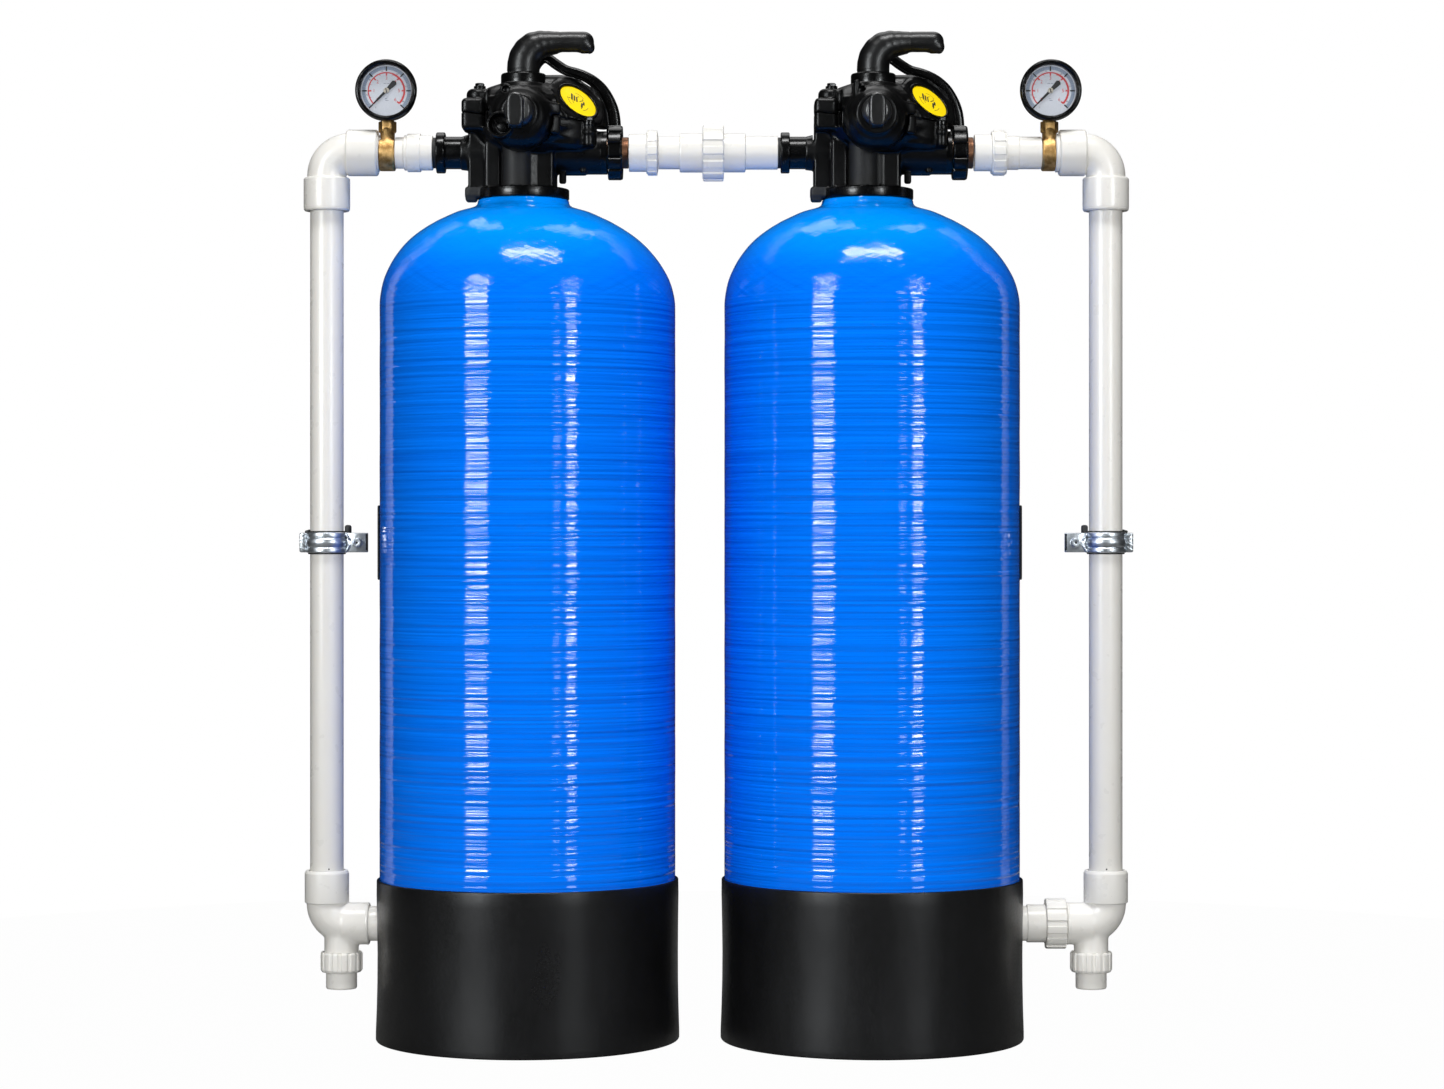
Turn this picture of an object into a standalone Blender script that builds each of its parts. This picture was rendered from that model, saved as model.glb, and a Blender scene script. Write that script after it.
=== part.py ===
"""Duplex pressure-vessel water filter: two filament-wound tanks in boots, two
manual valves with levers, and the white pipework, gauges and clamps between them.

Metres, +Z up. The origin is on the floor under the middle of the set, +X to the
right and -Y to the front.
"""

import math

import bmesh
import bpy
from mathutils import Matrix, Vector

MM = 0.001
GAP = 0.3

# ---- driving dimensions, millimetres -------------------------------------
TANK_X = {"L": -195.7, "R": 161.5}   # tank axes
NECK_SHIFT = -4.5                    # the neck stands a little off the tank axis
TANK_R = 153.2
TANK_WALL = 4.0
TANK_BASE_Z = 12.0
TANK_TANGENT_LOW = 92.0
NECK_TOP_Z = 869.2
NECK_R = 47.4
NECK_BORE_R = 33.0

BOOT_R = 156.6
BOOT_H = 166.0
BOOT_WALL = 2.7

PORT_Z = 918.5                       # axis of all the top pipework
PORT_COLLAR_END = 90.4               # from the valve axis to the inlet port's end
PORT_END = 87.5                      # from the valve axis to the outlet port's end
NUT_R = 28.3

RISER_X = 404.3
RISER_R = 17.3
RISER_BORE_R = 14.0
BORE_R = 18.25                       # socket bore over its corners, clear of the pipe on its flats
LOW_Z = 118.6                        # axis of the bottom pipework
BRANCH_X = 389.1

TEE_X = {"L": -341.4, "R": 344.6}
GAUGE_X = {"L": -341.4, "R": 345.8}
GAUGE_Z = 981.6
GAUGE_R = 32.0
GAUGE_FRONT_Y = -20.0

CLAMP_Z = 514.0
SADDLE_H = 78.0

LEVER_GRIP_Z = 1031.8
KNOB_Z = 952.0

FACETS = 0.55                        # share of the nominal number of facets round a turned shape

SIDES = ("L", "R")
SIGN = {"L": 1.0, "R": -1.0}         # the right side pipework is the left's mirror image

# ---- finishes --------------------------------------------------------------
FINISH = {
    "blue_gelcoat": ((0.0, 0.16, 0.85), 0.22, 0.0),
    "boot_black": ((0.012, 0.012, 0.013), 0.42, 0.0),
    "valve_black": ((0.010, 0.010, 0.011), 0.28, 0.0),
    "pvc_white": ((0.80, 0.81, 0.82), 0.30, 0.0),
    "brass": ((0.62, 0.40, 0.14), 0.35, 1.0),
    "copper": ((0.62, 0.30, 0.16), 0.35, 1.0),
    "gauge_black": ((0.010, 0.010, 0.010), 0.25, 0.0),
    "dial_white": ((0.78, 0.82, 0.90), 0.35, 0.0),
    "needle_black": ((0.01, 0.01, 0.01), 0.35, 0.0),
    "clear": ((0.95, 0.97, 1.0), 0.03, 0.0),
    "zinc": ((0.60, 0.62, 0.66), 0.22, 1.0),
    "rubber": ((0.012, 0.012, 0.012), 0.7, 0.0),
    "natural_abs": ((0.85, 0.85, 0.82), 0.5, 0.0),
}


def facets(nominal):
    """Facets round a shape: a multiple of four, so that its box keeps the full radius."""
    return nominal if nominal <= 12 or nominal >= 90 else max(12, 4 * round(nominal * FACETS / 4))


def clear_scene():
    for obj in list(bpy.data.objects):
        bpy.data.objects.remove(obj, do_unlink=True)


def collection(name, hidden=False):
    coll = bpy.data.collections.new(name)
    bpy.context.scene.collection.children.link(coll)
    coll.hide_render = hidden
    return coll


clear_scene()
PARTS = collection("duplex_filter_set")
CUTTERS = collection("cutters", hidden=True)


def material(name, finish):
    rgb, rough, metal = FINISH[finish]
    mat = bpy.data.materials.new(name)
    mat.use_nodes = True
    shader = mat.node_tree.nodes["Principled BSDF"]
    shader.inputs["Base Color"].default_value = (*rgb, 1.0)
    shader.inputs["Roughness"].default_value = rough
    shader.inputs["Metallic"].default_value = metal
    if finish == "clear":
        shader.inputs["Transmission Weight"].default_value = 1.0
    return mat


def place(name, mesh, finish=None):
    """A new object: a part when it has a finish, otherwise a cutter or helper."""
    obj = bpy.data.objects.new(name, mesh)
    if finish is None:
        CUTTERS.objects.link(obj)
        obj.hide_render = True
        obj.display_type = "WIRE"
    else:
        PARTS.objects.link(obj)
        obj.data.materials.append(material(name, finish))
    return obj


def turned(name, profile, finish=None, at=(0, 0, 0), along="Z", steps=24, closed=False):
    """A turned piece. The profile is (radius, height) pairs in mm running down the
    outer side; closed joins its ends, which makes a ring or a tube."""
    mesh = bpy.data.meshes.new(name)
    points = [(r * MM, 0.0, h * MM) for r, h in profile]
    edges = [(i, i + 1) for i in range(len(points) - 1)]
    if closed:
        edges.append((len(points) - 1, 0))
    mesh.from_pydata(points, edges, [])
    obj = place(name, mesh, finish)
    screw = obj.modifiers.new("Turn", "SCREW")
    screw.axis = "Z"
    screw.angle = math.tau
    screw.steps = screw.render_steps = facets(steps)
    screw.use_merge_vertices = True
    screw.merge_threshold = 0.00005
    screw.use_smooth_shade = True
    turn = {
        "Z": Matrix.Identity(4),
        "X": Matrix.Rotation(math.radians(90), 4, "Y"),
        "-X": Matrix.Rotation(math.radians(-90), 4, "Y"),
        "-Y": Matrix.Rotation(math.radians(90), 4, "X"),
        "Y": Matrix.Rotation(math.radians(-90), 4, "X"),
    }[along] if isinstance(along, str) else along
    obj.matrix_world = Matrix.Translation(Vector(at) * MM) @ turn
    return obj


def rod(name, radius, low, high, finish=None, at=(0, 0, 0), along="Z", steps=24, chamfer=0.0):
    """A plain or chamfered cylinder between two heights along its axis."""
    if chamfer:
        profile = [(0, high), (radius - chamfer, high), (radius, high - chamfer),
                   (radius, low + chamfer), (radius - chamfer, low), (0, low)]
    else:
        profile = [(0, high), (radius, high), (radius, low), (0, low)]
    return turned(name, profile, finish, at, along, steps)


def ring(name, outer, inner, low, high, finish=None, at=(0, 0, 0), along="Z", steps=24, chamfer=0.0):
    c = chamfer
    if c:
        profile = [(outer - c, high), (outer, high - c), (outer, low + c), (outer - c, low),
                   (inner, low), (inner, high)]
    else:
        profile = [(outer, high), (outer, low), (inner, low), (inner, high)]
    return turned(name, profile, finish, at, along, steps, closed=True)


def box(name, size, at, finish=None, bevel=0.0, turn=None):
    bpy.ops.mesh.primitive_cube_add(size=1.0)
    cube = bpy.context.object
    mesh = cube.data
    bpy.data.objects.remove(cube)
    mesh.transform(Matrix.Diagonal((*[s * MM for s in size], 1.0)))
    obj = place(name, mesh, finish)
    obj.matrix_world = Matrix.Translation(Vector(at) * MM) @ (turn or Matrix.Identity(4))
    if bevel:
        mod = obj.modifiers.new("Edge", "BEVEL")
        mod.width = bevel * MM
        mod.segments = 1
        mod.limit_method = "ANGLE"
    return obj


def swept(name, points, finish=None, sides=16):
    """A round tube solid through (x, y, z, radius) points in mm, as a welded mesh."""
    curve = bpy.data.curves.new(name, "CURVE")
    curve.dimensions = "3D"
    curve.bevel_depth = MM
    curve.bevel_resolution = (facets(sides) - 4) // 2
    curve.use_fill_caps = True
    spline = curve.splines.new("POLY")
    spline.points.add(len(points) - 1)
    for point, (x, y, z, radius) in zip(spline.points, points):
        point.co = (x * MM, y * MM, z * MM, 1.0)
        point.radius = radius
    guide = bpy.data.objects.new(name + "_path", curve)
    CUTTERS.objects.link(guide)
    guide.hide_render = True
    bpy.context.view_layer.update()
    graph = bpy.context.evaluated_depsgraph_get()
    mesh = bpy.data.meshes.new_from_object(guide.evaluated_get(graph))
    mesh.transform(guide.matrix_world)
    bpy.data.objects.remove(guide)
    bm = bmesh.new()
    bm.from_mesh(mesh)
    bmesh.ops.remove_doubles(bm, verts=bm.verts, dist=0.00001)
    bmesh.ops.recalc_face_normals(bm, faces=bm.faces)
    bm.to_mesh(mesh)
    bm.free()
    mesh.materials.clear()
    return place(name, mesh, finish)


def combine(obj, other, operation):
    mod = obj.modifiers.new(operation.title(), "BOOLEAN")
    mod.operation = operation
    mod.solver = "EXACT"
    mod.object = other
    other.hide_render = True
    other.display_type = "WIRE"


def join(obj, *others):
    for other in others:
        combine(obj, other, "UNION")


def cut(obj, *others):
    for other in others:
        combine(obj, other, "DIFFERENCE")


def arc(centre, radius, start, end, count):
    """Points of an arc in the XZ plane; angles in degrees from +X towards +Z."""
    for i in range(count + 1):
        angle = math.radians(start + (end - start) * i / count)
        yield centre[0] + radius * math.cos(angle), centre[1] + radius * math.sin(angle)


def shade(obj, angle=35):
    if obj.type == "MESH" and obj.data.polygons:
        obj.data.shade_smooth()
        obj.data.set_sharp_from_angle(angle=math.radians(angle))


# ---- vessels ---------------------------------------------------------------
def tank_profile():
    """Outer side from the neck's top down to the middle of the base."""
    outer = [
        (NECK_R - 1.0, NECK_TOP_Z), (NECK_R, NECK_TOP_Z - 1.2), (NECK_R, 863.2),
        (50.6, 860.2), (68.5, 855.2), (89.0, 847.0), (106.1, 836.6), (120.8, 824.6),
        (133.0, 810.8), (143.0, 795.8), (150.0, 779.6), (TANK_R, 757.0),
        (TANK_R, TANK_TANGENT_LOW),
    ]
    rise = TANK_TANGENT_LOW - TANK_BASE_Z
    for degrees in (24, 48, 70):
        a = math.radians(degrees)
        outer.append((TANK_R * math.cos(a), TANK_TANGENT_LOW - rise * math.sin(a)))
    outer.append((20.0, TANK_BASE_Z))
    outer.append((0.0, TANK_BASE_Z))
    return outer


def tank_inner():
    """Inner side from the middle of the base up to the neck bore's top."""
    t = TANK_WALL
    r = TANK_R - t
    rise = TANK_TANGENT_LOW - TANK_BASE_Z - t
    inner = [(0.0, TANK_BASE_Z + t), (19.0, TANK_BASE_Z + t)]
    for degrees in (60, 28):
        a = math.radians(degrees)
        inner.append((r * math.cos(a), TANK_TANGENT_LOW - rise * math.sin(a)))
    inner += [(r, TANK_TANGENT_LOW), (r, 757.0), (144.0, 781.0), (130.0, 806.0), (108.0, 828.0),
              (76.0, 846.0), (NECK_BORE_R, 854.0), (NECK_BORE_R, NECK_TOP_Z)]
    return inner


def make_tank(side):
    name = f"tank_{side}"
    x = TANK_X[side]
    obj = turned(name, tank_inner() + tank_profile(), "blue_gelcoat", steps=58, closed=False)
    # The profile runs from the axis inside, over the neck's rim, and back to the axis.
    obj.data.update()
    rim = len(tank_inner()) + len(tank_profile())
    assert len(obj.data.vertices) == rim
    bpy.context.view_layer.update()
    graph = bpy.context.evaluated_depsgraph_get()
    mesh = bpy.data.meshes.new_from_object(obj.evaluated_get(graph))
    old = obj.data
    obj.modifiers.clear()
    obj.data = mesh
    bpy.data.meshes.remove(old)
    for vertex in mesh.vertices:
        rise = (vertex.co.z / MM - 757.0) / (863.0 - 757.0)
        rise = min(max(rise, 0.0), 1.0)
        vertex.co.x += NECK_SHIFT * MM * rise * rise * (3 - 2 * rise)
    obj.location = (x * MM, 0, 0)
    inward = -1 if side == "L" else 1
    bore = rod(f"cut_port_{side}", 18.5, 0, 60, along="X", at=(x + inward * 175 - 30, 0, LOW_Z), steps=20)
    cut(obj, bore)
    return obj


def make_boot(side):
    x = TANK_X[side]
    inner = BOOT_R - BOOT_WALL
    profile = [
        (BOOT_R - 1.0, BOOT_H), (BOOT_R, BOOT_H - 1.2), (BOOT_R - 0.9, 84.0),
        (BOOT_R + 0.8, 14.0), (BOOT_R + 0.8, 0.0), (145.0, 0.0), (145.0, 4.5),
        (inner, 13.0), (inner, BOOT_H),
    ]
    obj = turned(f"boot_{side}", profile, "boot_black", at=(x, 0, 0), steps=65, closed=True)
    outward = -1 if side == "L" else 1
    hole = rod(f"cut_boot_{side}", 18.6, 0, 30, along="X", at=(x + outward * 155 - 15, 0, LOW_Z), steps=20)
    cut(obj, hole)
    return obj


def make_distributor(side):
    x = TANK_X[side] + NECK_SHIFT
    profile = [(0, 31), (10.6, 31), (10.6, 900), (13.3, 900), (13.3, 74), (26, 70), (26, 26), (22, 22), (0, 22)]
    return turned(f"distributor_{side}", profile, "natural_abs", at=(x, 0, 0), steps=16)


# ---- manual valve ------------------------------------------------------------
HEAD_SHIFT = {"L": 0.0, "R": 6.0}    # the right head is turned slightly on its base
RIM_TILT = Matrix.Rotation(math.radians(7.0), 4, "Y")
DIAL_NORMAL = Vector((0.55, -0.56, 0.62)).normalized()
DIAL_CENTRE = (55.5, -14.0, 968.0)


def valve_x(side):
    return TANK_X[side] + NECK_SHIFT


def tilted(name, radius, low, high, side, finish=None, steps=36, chamfer=0.0):
    """A disc of the clamped rim; heights are from the split plane along its normal."""
    at = (valve_x(side) + HEAD_SHIFT[side] + 10.0, 0.0, 954.0)
    return rod(name, radius, low, high, finish, at, RIM_TILT, steps, chamfer)


def rim_ear(name, side, low, high):
    """A bolt ear on the rim's left; heights are from the split plane along its normal."""
    centre = Vector((valve_x(side) + HEAD_SHIFT[side] + 10.0, 0.0, 954.0))
    at = centre + RIM_TILT.to_3x3() @ Vector((-60.6, -21.0, (low + high) / 2))
    return box(name, (23.0, 15.0, high - low), at, turn=RIM_TILT)


def make_valve_body(side):
    x = valve_x(side)
    h = x + HEAD_SHIFT[side]
    body = rod(f"valve_body_{side}", 47.6, NECK_TOP_Z + GAP, 880.6, "valve_black", (x, 0, 0), steps=36, chamfer=1.2)
    spigot = rod(f"add_spigot_{side}", 31.8, 846.0, 875.0, at=(x, 0, 0), steps=24)
    lug = box(f"add_lug_{side}", (17.0, 17, 9.4), (x - 51.0, -6, 875.5))
    toe = box(f"add_toe_{side}", (10.6, 14, 8.0), (x - 53.8, -6, 870.6))
    barrel = rod(f"add_barrel_{side}", 36.0, 876.0, 948.0, at=(x - 1, 5, 0), steps=32)
    column = rod(f"add_column_{side}", 19.0, 876.0, 946.0, at=(x - 37.5, 1, 0), steps=24)
    front = rod(f"add_front_{side}", 14.6, 876.0, 925.0, at=(x - 3.2, -25, 0), steps=20)
    web = box(f"add_web_{side}", (52, 26, 64), (x - 28, 2, 908.0))
    inlet = turned(f"add_inlet_{side}", [(0, -10), (20.5, -10), (18.6, -57), (16.6, -80), (16.6, -84), (0, -84)],
                   at=(x, 0, PORT_Z), along="X", steps=24)
    collar = rod(f"add_collar_{side}", 21.3, -PORT_COLLAR_END, -81.0, at=(x, 0, PORT_Z), along="X", steps=24)
    outlet = rod(f"add_outlet_{side}", 22.4, 4.0, PORT_END, at=(x, 0, PORT_Z), along="X", steps=24)
    rim = tilted(f"add_rim_{side}", 67.0, -19.5, 0.0, side)
    boss = rod(f"add_boss_{side}", 7.5, -30.0, -9.0, at=(h + 68.5, -22.0, 954.0), steps=8)
    ear = rim_ear(f"add_bodyear_{side}", side, -18.5, 0.0)
    join(body, spigot, lug, toe, barrel, column, front, web, inlet, collar, outlet, rim, boss, ear)
    # Clearance for the head's front barrel, the rotor chamber and the flow passages.
    cut(body,
        rod(f"cut_head_{side}", 33.4 + GAP, 41.2, 90, at=(h, 0, 948.0), along="-Y", steps=32),
        rod(f"cut_chamber_{side}", 33.0, 936.0, 975.0, at=(h, 0, 0), steps=24),
        rod(f"cut_well_{side}", 23.5, 840.0, 938.0, at=(x, 0, 0), steps=24),
        rod(f"cut_in_{side}", 12.8, -95.0, -21.7, at=(x, 0, PORT_Z), along="X", steps=20),
        rod(f"cut_out_{side}", 17.1, 21.3, 95.0, at=(x, 0, PORT_Z), along="X", steps=20))
    return body


def make_valve_cover(side):
    x = valve_x(side) + HEAD_SHIFT[side]
    cover = tilted(f"valve_cover_{side}", 67.0, GAP, 12.6, side, "valve_black", chamfer=1.4)
    dome = turned(f"add_dome_{side}", [(0, 989.5), (23.6, 989.5), (33, 986.0), (46, 979.0), (57, 969.5), (58, 961.5), (0, 961.5)],
                  at=(x, 0, 0), steps=36)
    barrel = turned(f"add_head_{side}", [(0, 77), (20, 77), (29, 73.5), (33.0, 66), (33.4, 42.0), (0, 42.0)],
                    at=(x, 0, 948.0), along="-Y", steps=32)
    neck = box(f"add_neck_{side}", (60, 48, 18), (x, -38, 970.0), bevel=3.0)
    collar = rod(f"add_top_{side}", 22.8, 985.0, 1000.0, at=(x, 0, 0), steps=28, chamfer=1.2)
    turn = DIAL_NORMAL.to_track_quat("Z", "Y").to_matrix().to_4x4()
    dial = rod(f"add_dialplate_{side}", 31.0, -16.0, 0.0, at=(x + DIAL_CENTRE[0], DIAL_CENTRE[1], DIAL_CENTRE[2]), along=turn, steps=32, chamfer=1.0)
    bolt = rod(f"add_bolt_{side}", 6.4, 955.0, 990.0, at=(x - 43.5, -22.0, 0), steps=12, chamfer=1.0)
    ear = rim_ear(f"add_coverear_{side}", side, GAP, 12.4)
    join(cover, dome, neck, barrel, collar, dial, bolt, ear)
    cut(cover, rod(f"cut_shaft_{side}", 8.4, 940.0, 1010.0, at=(x, 0, 0), steps=20))
    # The dial plate's back ends at the split, and the chamber side stays clear of the body.
    below = tilted(f"cut_below_{side}", 90.0, -60.0, GAP, side, steps=36)
    keep = box(f"keep_{side}", (70, 60, 120), (x, -72.0, 940.0))
    cut(below, keep)
    cut(cover, below)
    return cover


BRIDGE = [
    (6, 41, 979, 6.0), (7, 41, 996, 6.0), (13, 40, 1008, 6.0), (24, 38, 1014.8, 6.0), (31, 37.2, 1013.0, 6.0),
    (38, 37, 1008.4, 5.6), (47, 36.7, 1003.7, 5.2), (59, 36.5, 1000.0, 5.2), (71, 36.5, 993.5, 5.6),
    (82.2, 36.5, 982.4, 6.0), (90, 36.8, 969.2, 6.4), (93.4, 37, 954.6, 6.8), (93.2, 37, 942.0, 6.8),
    (90, 36.5, 929, 6.8), (82, 34, 918.5, 6.8), (70, 30.5, 916.0, 6.8),
]


def make_valve_bridge(side):
    x = valve_x(side) + HEAD_SHIFT[side] * 0.5
    points = [(x + px, py, pz, r) for px, py, pz, r in BRIDGE]
    obj = swept(f"valve_bridge_{side}", points, "valve_black", sides=12)
    vx = valve_x(side)
    h = vx + HEAD_SHIFT[side]
    cut(obj,
        rod(f"cut_bridge_port_{side}", 22.4 + GAP, 0, 95, at=(vx, 0, PORT_Z), along="X", steps=24),
        turned(f"cut_bridge_dome_{side}", [(0, 992), (24.2, 990), (33.5, 986.6), (46.5, 979.6), (57.6, 970), (67.6, 969.0), (67.6, 940), (0, 940)], at=(h, 0, 0), steps=36))
    return obj


def make_spindle(side):
    x = valve_x(side) + HEAD_SHIFT[side]
    # The rotor disc sits in the chamber; its shaft passes through the collar into the lever.
    profile = [(0, 1012), (7.0, 1012), (8.0, 1011), (8.0, 949), (29, 948), (29, 940), (0, 940)]
    return turned(f"valve_spindle_{side}", profile, "natural_abs", at=(x, 0, 0), steps=20)


LEVER = [
    (0, 1000.6, 16.8), (0, 1003.5, 16.8), (0.2, 1010.5, 16.5), (1.6, 1017.0, 16.2), (5.5, 1023.2, 15.6), (11.8, 1027.8, 14.8),
    (20.0, 1030.4, 13.4), (30.0, 1031.4, 12.2), (38.5, LEVER_GRIP_Z, 11.4), (50.0, LEVER_GRIP_Z, 11.2),
    (62.0, LEVER_GRIP_Z - 0.2, 11.2), (69.0, 1030.9, 10.2), (73.5, 1030.0, 7.0),
]


def make_lever(side):
    x = valve_x(side) + HEAD_SHIFT[side]
    pivot = bpy.data.objects.new(f"lever_axis_{side}", None)
    pivot.location = (x * MM, 0, 0)
    PARTS.objects.link(pivot)
    obj = swept(f"valve_lever_{side}", [(px, 0, pz, r) for px, pz, r in LEVER], "valve_black", sides=20)
    obj.parent = pivot
    socket = rod(f"cut_socket_{side}", 8.0 + GAP, 990.0, 1013.0, at=(x, 0, 0), steps=20)
    cut(obj, socket)
    return obj


def make_knob(side):
    x = valve_x(side) + HEAD_SHIFT[side]
    cap = turned(f"valve_knob_{side}", [(0, 90), (11.5, 90), (14.6, 87.5), (15.6, 82), (15.6, 77.4), (0, 77.4)],
                 "valve_black", at=(x, 0, KNOB_Z), along="-Y", steps=24)
    wing = box(f"add_wing_{side}", (14.5, 20.0, 31.0), (x, -93.0, KNOB_Z), bevel=4.5)
    wing.modifiers["Edge"].segments = 2
    join(cap, wing)
    return cap


def make_port_nut(side):
    x = valve_x(side)
    nut = ring(f"port_nut_{side}", NUT_R, 17.2, PORT_END + GAP, 103.2, "valve_black", (x, 0, PORT_Z), "X", 16, chamfer=1.6)
    return nut


def make_port_nipple(side):
    x = valve_x(side)
    return ring(f"port_nipple_{side}", 16.6, 12.0, 64.0, 109.2, "copper", (x, 0, PORT_Z), "X", 20)


# ---- gauges --------------------------------------------------------------------
def make_gauge(side):
    x, z = GAUGE_X[side], GAUGE_Z
    front = -GAUGE_FRONT_Y
    case = turned(f"gauge_case_{side}",
                  [(0, -11.0), (27.5, -11.0), (29.5, -9.0), (29.5, front - 9.5), (GAUGE_R - 0.6, front - 8.0), (GAUGE_R, front - 6.5),
                   (GAUGE_R, front - 1.6), (GAUGE_R - 1.4, front), (28.6, front), (27.3, front - 2.6), (27.3, front - 10.0), (0, front - 10.0)][::-1],
                  "gauge_black", (x, 0, z), "-Y", steps=36)
    dial = rod(f"gauge_dial_{side}", 27.0, front - 9.7, front - 8.9, "dial_white", (x, 0, z), "-Y", 36)
    needle = box(f"gauge_needle_{side}", (1.6, 0.9, 32.0), (0, 0, 0), "needle_black")
    pivot = bpy.data.objects.new(f"needle_axis_{side}", None)
    pivot.location = (x * MM, -(front - 7.6) * MM, z * MM)
    PARTS.objects.link(pivot)
    needle.parent = pivot
    # At rest the pointer stands at the scale's zero, lower left.
    needle.matrix_parent_inverse = Matrix.Identity(4)
    needle.matrix_basis = Matrix.Rotation(math.radians(-135), 4, "Y") @ Matrix.Translation((0, 0, 5.5 * MM))
    hub = rod(f"add_hub_{side}", 3.5, -0.9, 1.2, along="-Y", at=(x, -(front - 7.6), z), steps=12)
    tail = box(f"add_tail_{side}", (3.6, 1.3, 11.4), (0, 0, 0))
    tail.matrix_world = Matrix.Translation((x * MM, -(front - 7.6) * MM, z * MM)) @ Matrix.Rotation(math.radians(-135), 4, "Y") @ Matrix.Translation((0, 0, -9.0 * MM))
    join(needle, hub, tail)
    lens = rod(f"gauge_lens_{side}", 27.0, front - 3.9, front - 2.9, "clear", (x, 0, z), "-Y", 36)
    return case, dial, needle, lens


def make_gauge_tee(side):
    x = TEE_X[side]
    gx = GAUGE_X[side]
    width = 8.2 if side == "L" else 6.9
    # The run, with a spigot into the elbow and a socket for the adaptor.
    tee = rod(f"gauge_tee_{side}", 19.2, -width, width, "brass", (x, 0, PORT_Z), "X", 28, chamfer=0.8)
    neck = rod(f"add_teeneck_{side}", 7.3, 922.0, 941.0, at=((x + gx) / 2, 0, 0), steps=16)
    hexagon = rod(f"add_hexagon_{side}", 9.2, 939.4, 950.6, at=(gx, 0, 0), steps=6)
    spigot = rod(f"add_teespigot_{side}", 17.1, 0, width + 22, at=(x, 0, PORT_Z), along="-X" if side == "L" else "X", steps=20)
    join(tee, neck, hexagon, spigot)
    cut(tee, rod(f"cut_tee_{side}", 12.7, -45, 45, at=(x, 0, PORT_Z), along="X", steps=28))
    return tee


# ---- pipework ---------------------------------------------------------------------
def make_port_adaptor(side):
    if side == "L":
        # From the tee's face to the inlet port: sleeve, coupling with a flat ring, threaded end.
        x0 = TEE_X["L"] + 8.2 + GAP
        return turned("port_adaptor_L",
                      [(12.0, -x0 + 6.5), (12.0, -x0), (16.3, -x0), (16.3, 324.2), (18.2, 323.6), (18.2, 321.2),
                       (19.9, 320.6), (19.9, 306.6), (18.2, 306.0), (18.2, 294.0), (12.2, 293.6), (12.2, 272.0),
                       (9.0, 272.0), (9.0, -x0 + 6.5)],
                      "pvc_white", (0, 0, PORT_Z), "-X", 24, closed=True)
    x0 = TEE_X["R"] - 6.9 - GAP
    return turned("port_adaptor_R",
                  [(12.0, x0 + 6.0), (12.0, x0), (16.9, x0), (16.9, 314.0), (17.6, 313.4), (17.6, 300.8), (23.2, 300.2),
                   (23.8, 299.0), (23.8, 287.0), (22.0, 285.4), (19.0, 284.8), (19.0, 267.4), (17.0, 267.4),
                   (17.0, 282.0), (9.0, 282.0), (9.0, x0 + 6.0)],
                  "pvc_white", (0, 0, PORT_Z), "X", 24, closed=True)


def make_top_elbow(side):
    s = SIGN[side]
    face = 351.1 if side == "L" else 355.6
    bend = 24.0
    cx, cz = RISER_X - bend, PORT_Z - bend
    z = PORT_Z
    points = [(face, z, 23.4), (face + 0.8, z, 24.0), (383.0, z, 24.0), (383.4, z, 20.4)]
    for px, pz in arc((cx, cz), bend, 90, 0, 6):
        if px > 384.0 and pz > 892.4:
            points.append((px, pz, 20.4))
    points += [(RISER_X, 892.2, 20.4), (RISER_X, 891.8, 24.0), (RISER_X, 858.7, 24.0), (RISER_X, 857.9, 23.4)]
    obj = swept(f"top_elbow_{side}", [(-s * px, 0, pz, r) for px, pz, r in points], "pvc_white", sides=20)
    bore = [(face - 2.0, z, BORE_R), (378.0, z, BORE_R), (378.4, z, 14.0)]
    for px, pz in arc((cx, cz), bend, 90, 0, 4):
        if px > 381.0 and pz > 890.0:
            bore.append((px, pz, 14.0))
    bore += [(RISER_X, 886.4, 14.0), (RISER_X, 886.0, BORE_R), (RISER_X, 856.0, BORE_R)]
    cut(obj, swept(f"cut_top_elbow_{side}", [(-s * px, 0, pz, r) for px, pz, r in bore], sides=16))
    return obj


def make_riser(side):
    s = SIGN[side]
    return ring(f"riser_{side}", RISER_R, RISER_BORE_R, 147.0, 885.0, "pvc_white", (-s * RISER_X, 0, 0), steps=28)


def make_bottom_elbow(side):
    s = SIGN[side]
    face = 359.9 if side == "L" else 362.9
    bend = 21.0
    cx, cz = RISER_X - bend, LOW_Z + bend
    points = [(RISER_X, 174.3, 21.6), (RISER_X, 173.0, 22.9), (RISER_X, 140.0, 22.9), (RISER_X, 139.6, 20.6)]
    for px, pz in arc((cx, cz), bend, -8, -82, 4):
        points.append((px, pz, 20.8))
    points += [(cx - 1.0, LOW_Z, 21.6), (face + 0.6, LOW_Z, 21.8), (face, LOW_Z, 21.2)]
    obj = swept(f"bottom_elbow_{side}", [(-s * px, 0, pz, r) for px, pz, r in points], "pvc_white", sides=20)
    branch = rod(f"add_branch_{side}", 17.8, 85.6, LOW_Z, at=(-s * BRANCH_X, 0, 0), steps=20)
    join(obj, branch)
    bore = [(RISER_X, 176.0, BORE_R), (RISER_X, 146.4, BORE_R), (RISER_X, 146.0, 14.0)]
    for px, pz in arc((cx, cz), bend, -8, -82, 3):
        bore.append((px, pz, 14.0))
    bore += [(cx - 5.0, LOW_Z, 14.0), (cx - 5.4, LOW_Z, 19.1), (face - 2.0, LOW_Z, 19.1)]
    cut(obj,
        swept(f"cut_bottom_elbow_{side}", [(-s * px, 0, pz, r) for px, pz, r in bore], sides=16),
        rod(f"cut_branch_{side}", 12.4, 80.0, LOW_Z + 2.0, at=(-s * BRANCH_X, 0, 0), steps=16))
    return obj


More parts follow.
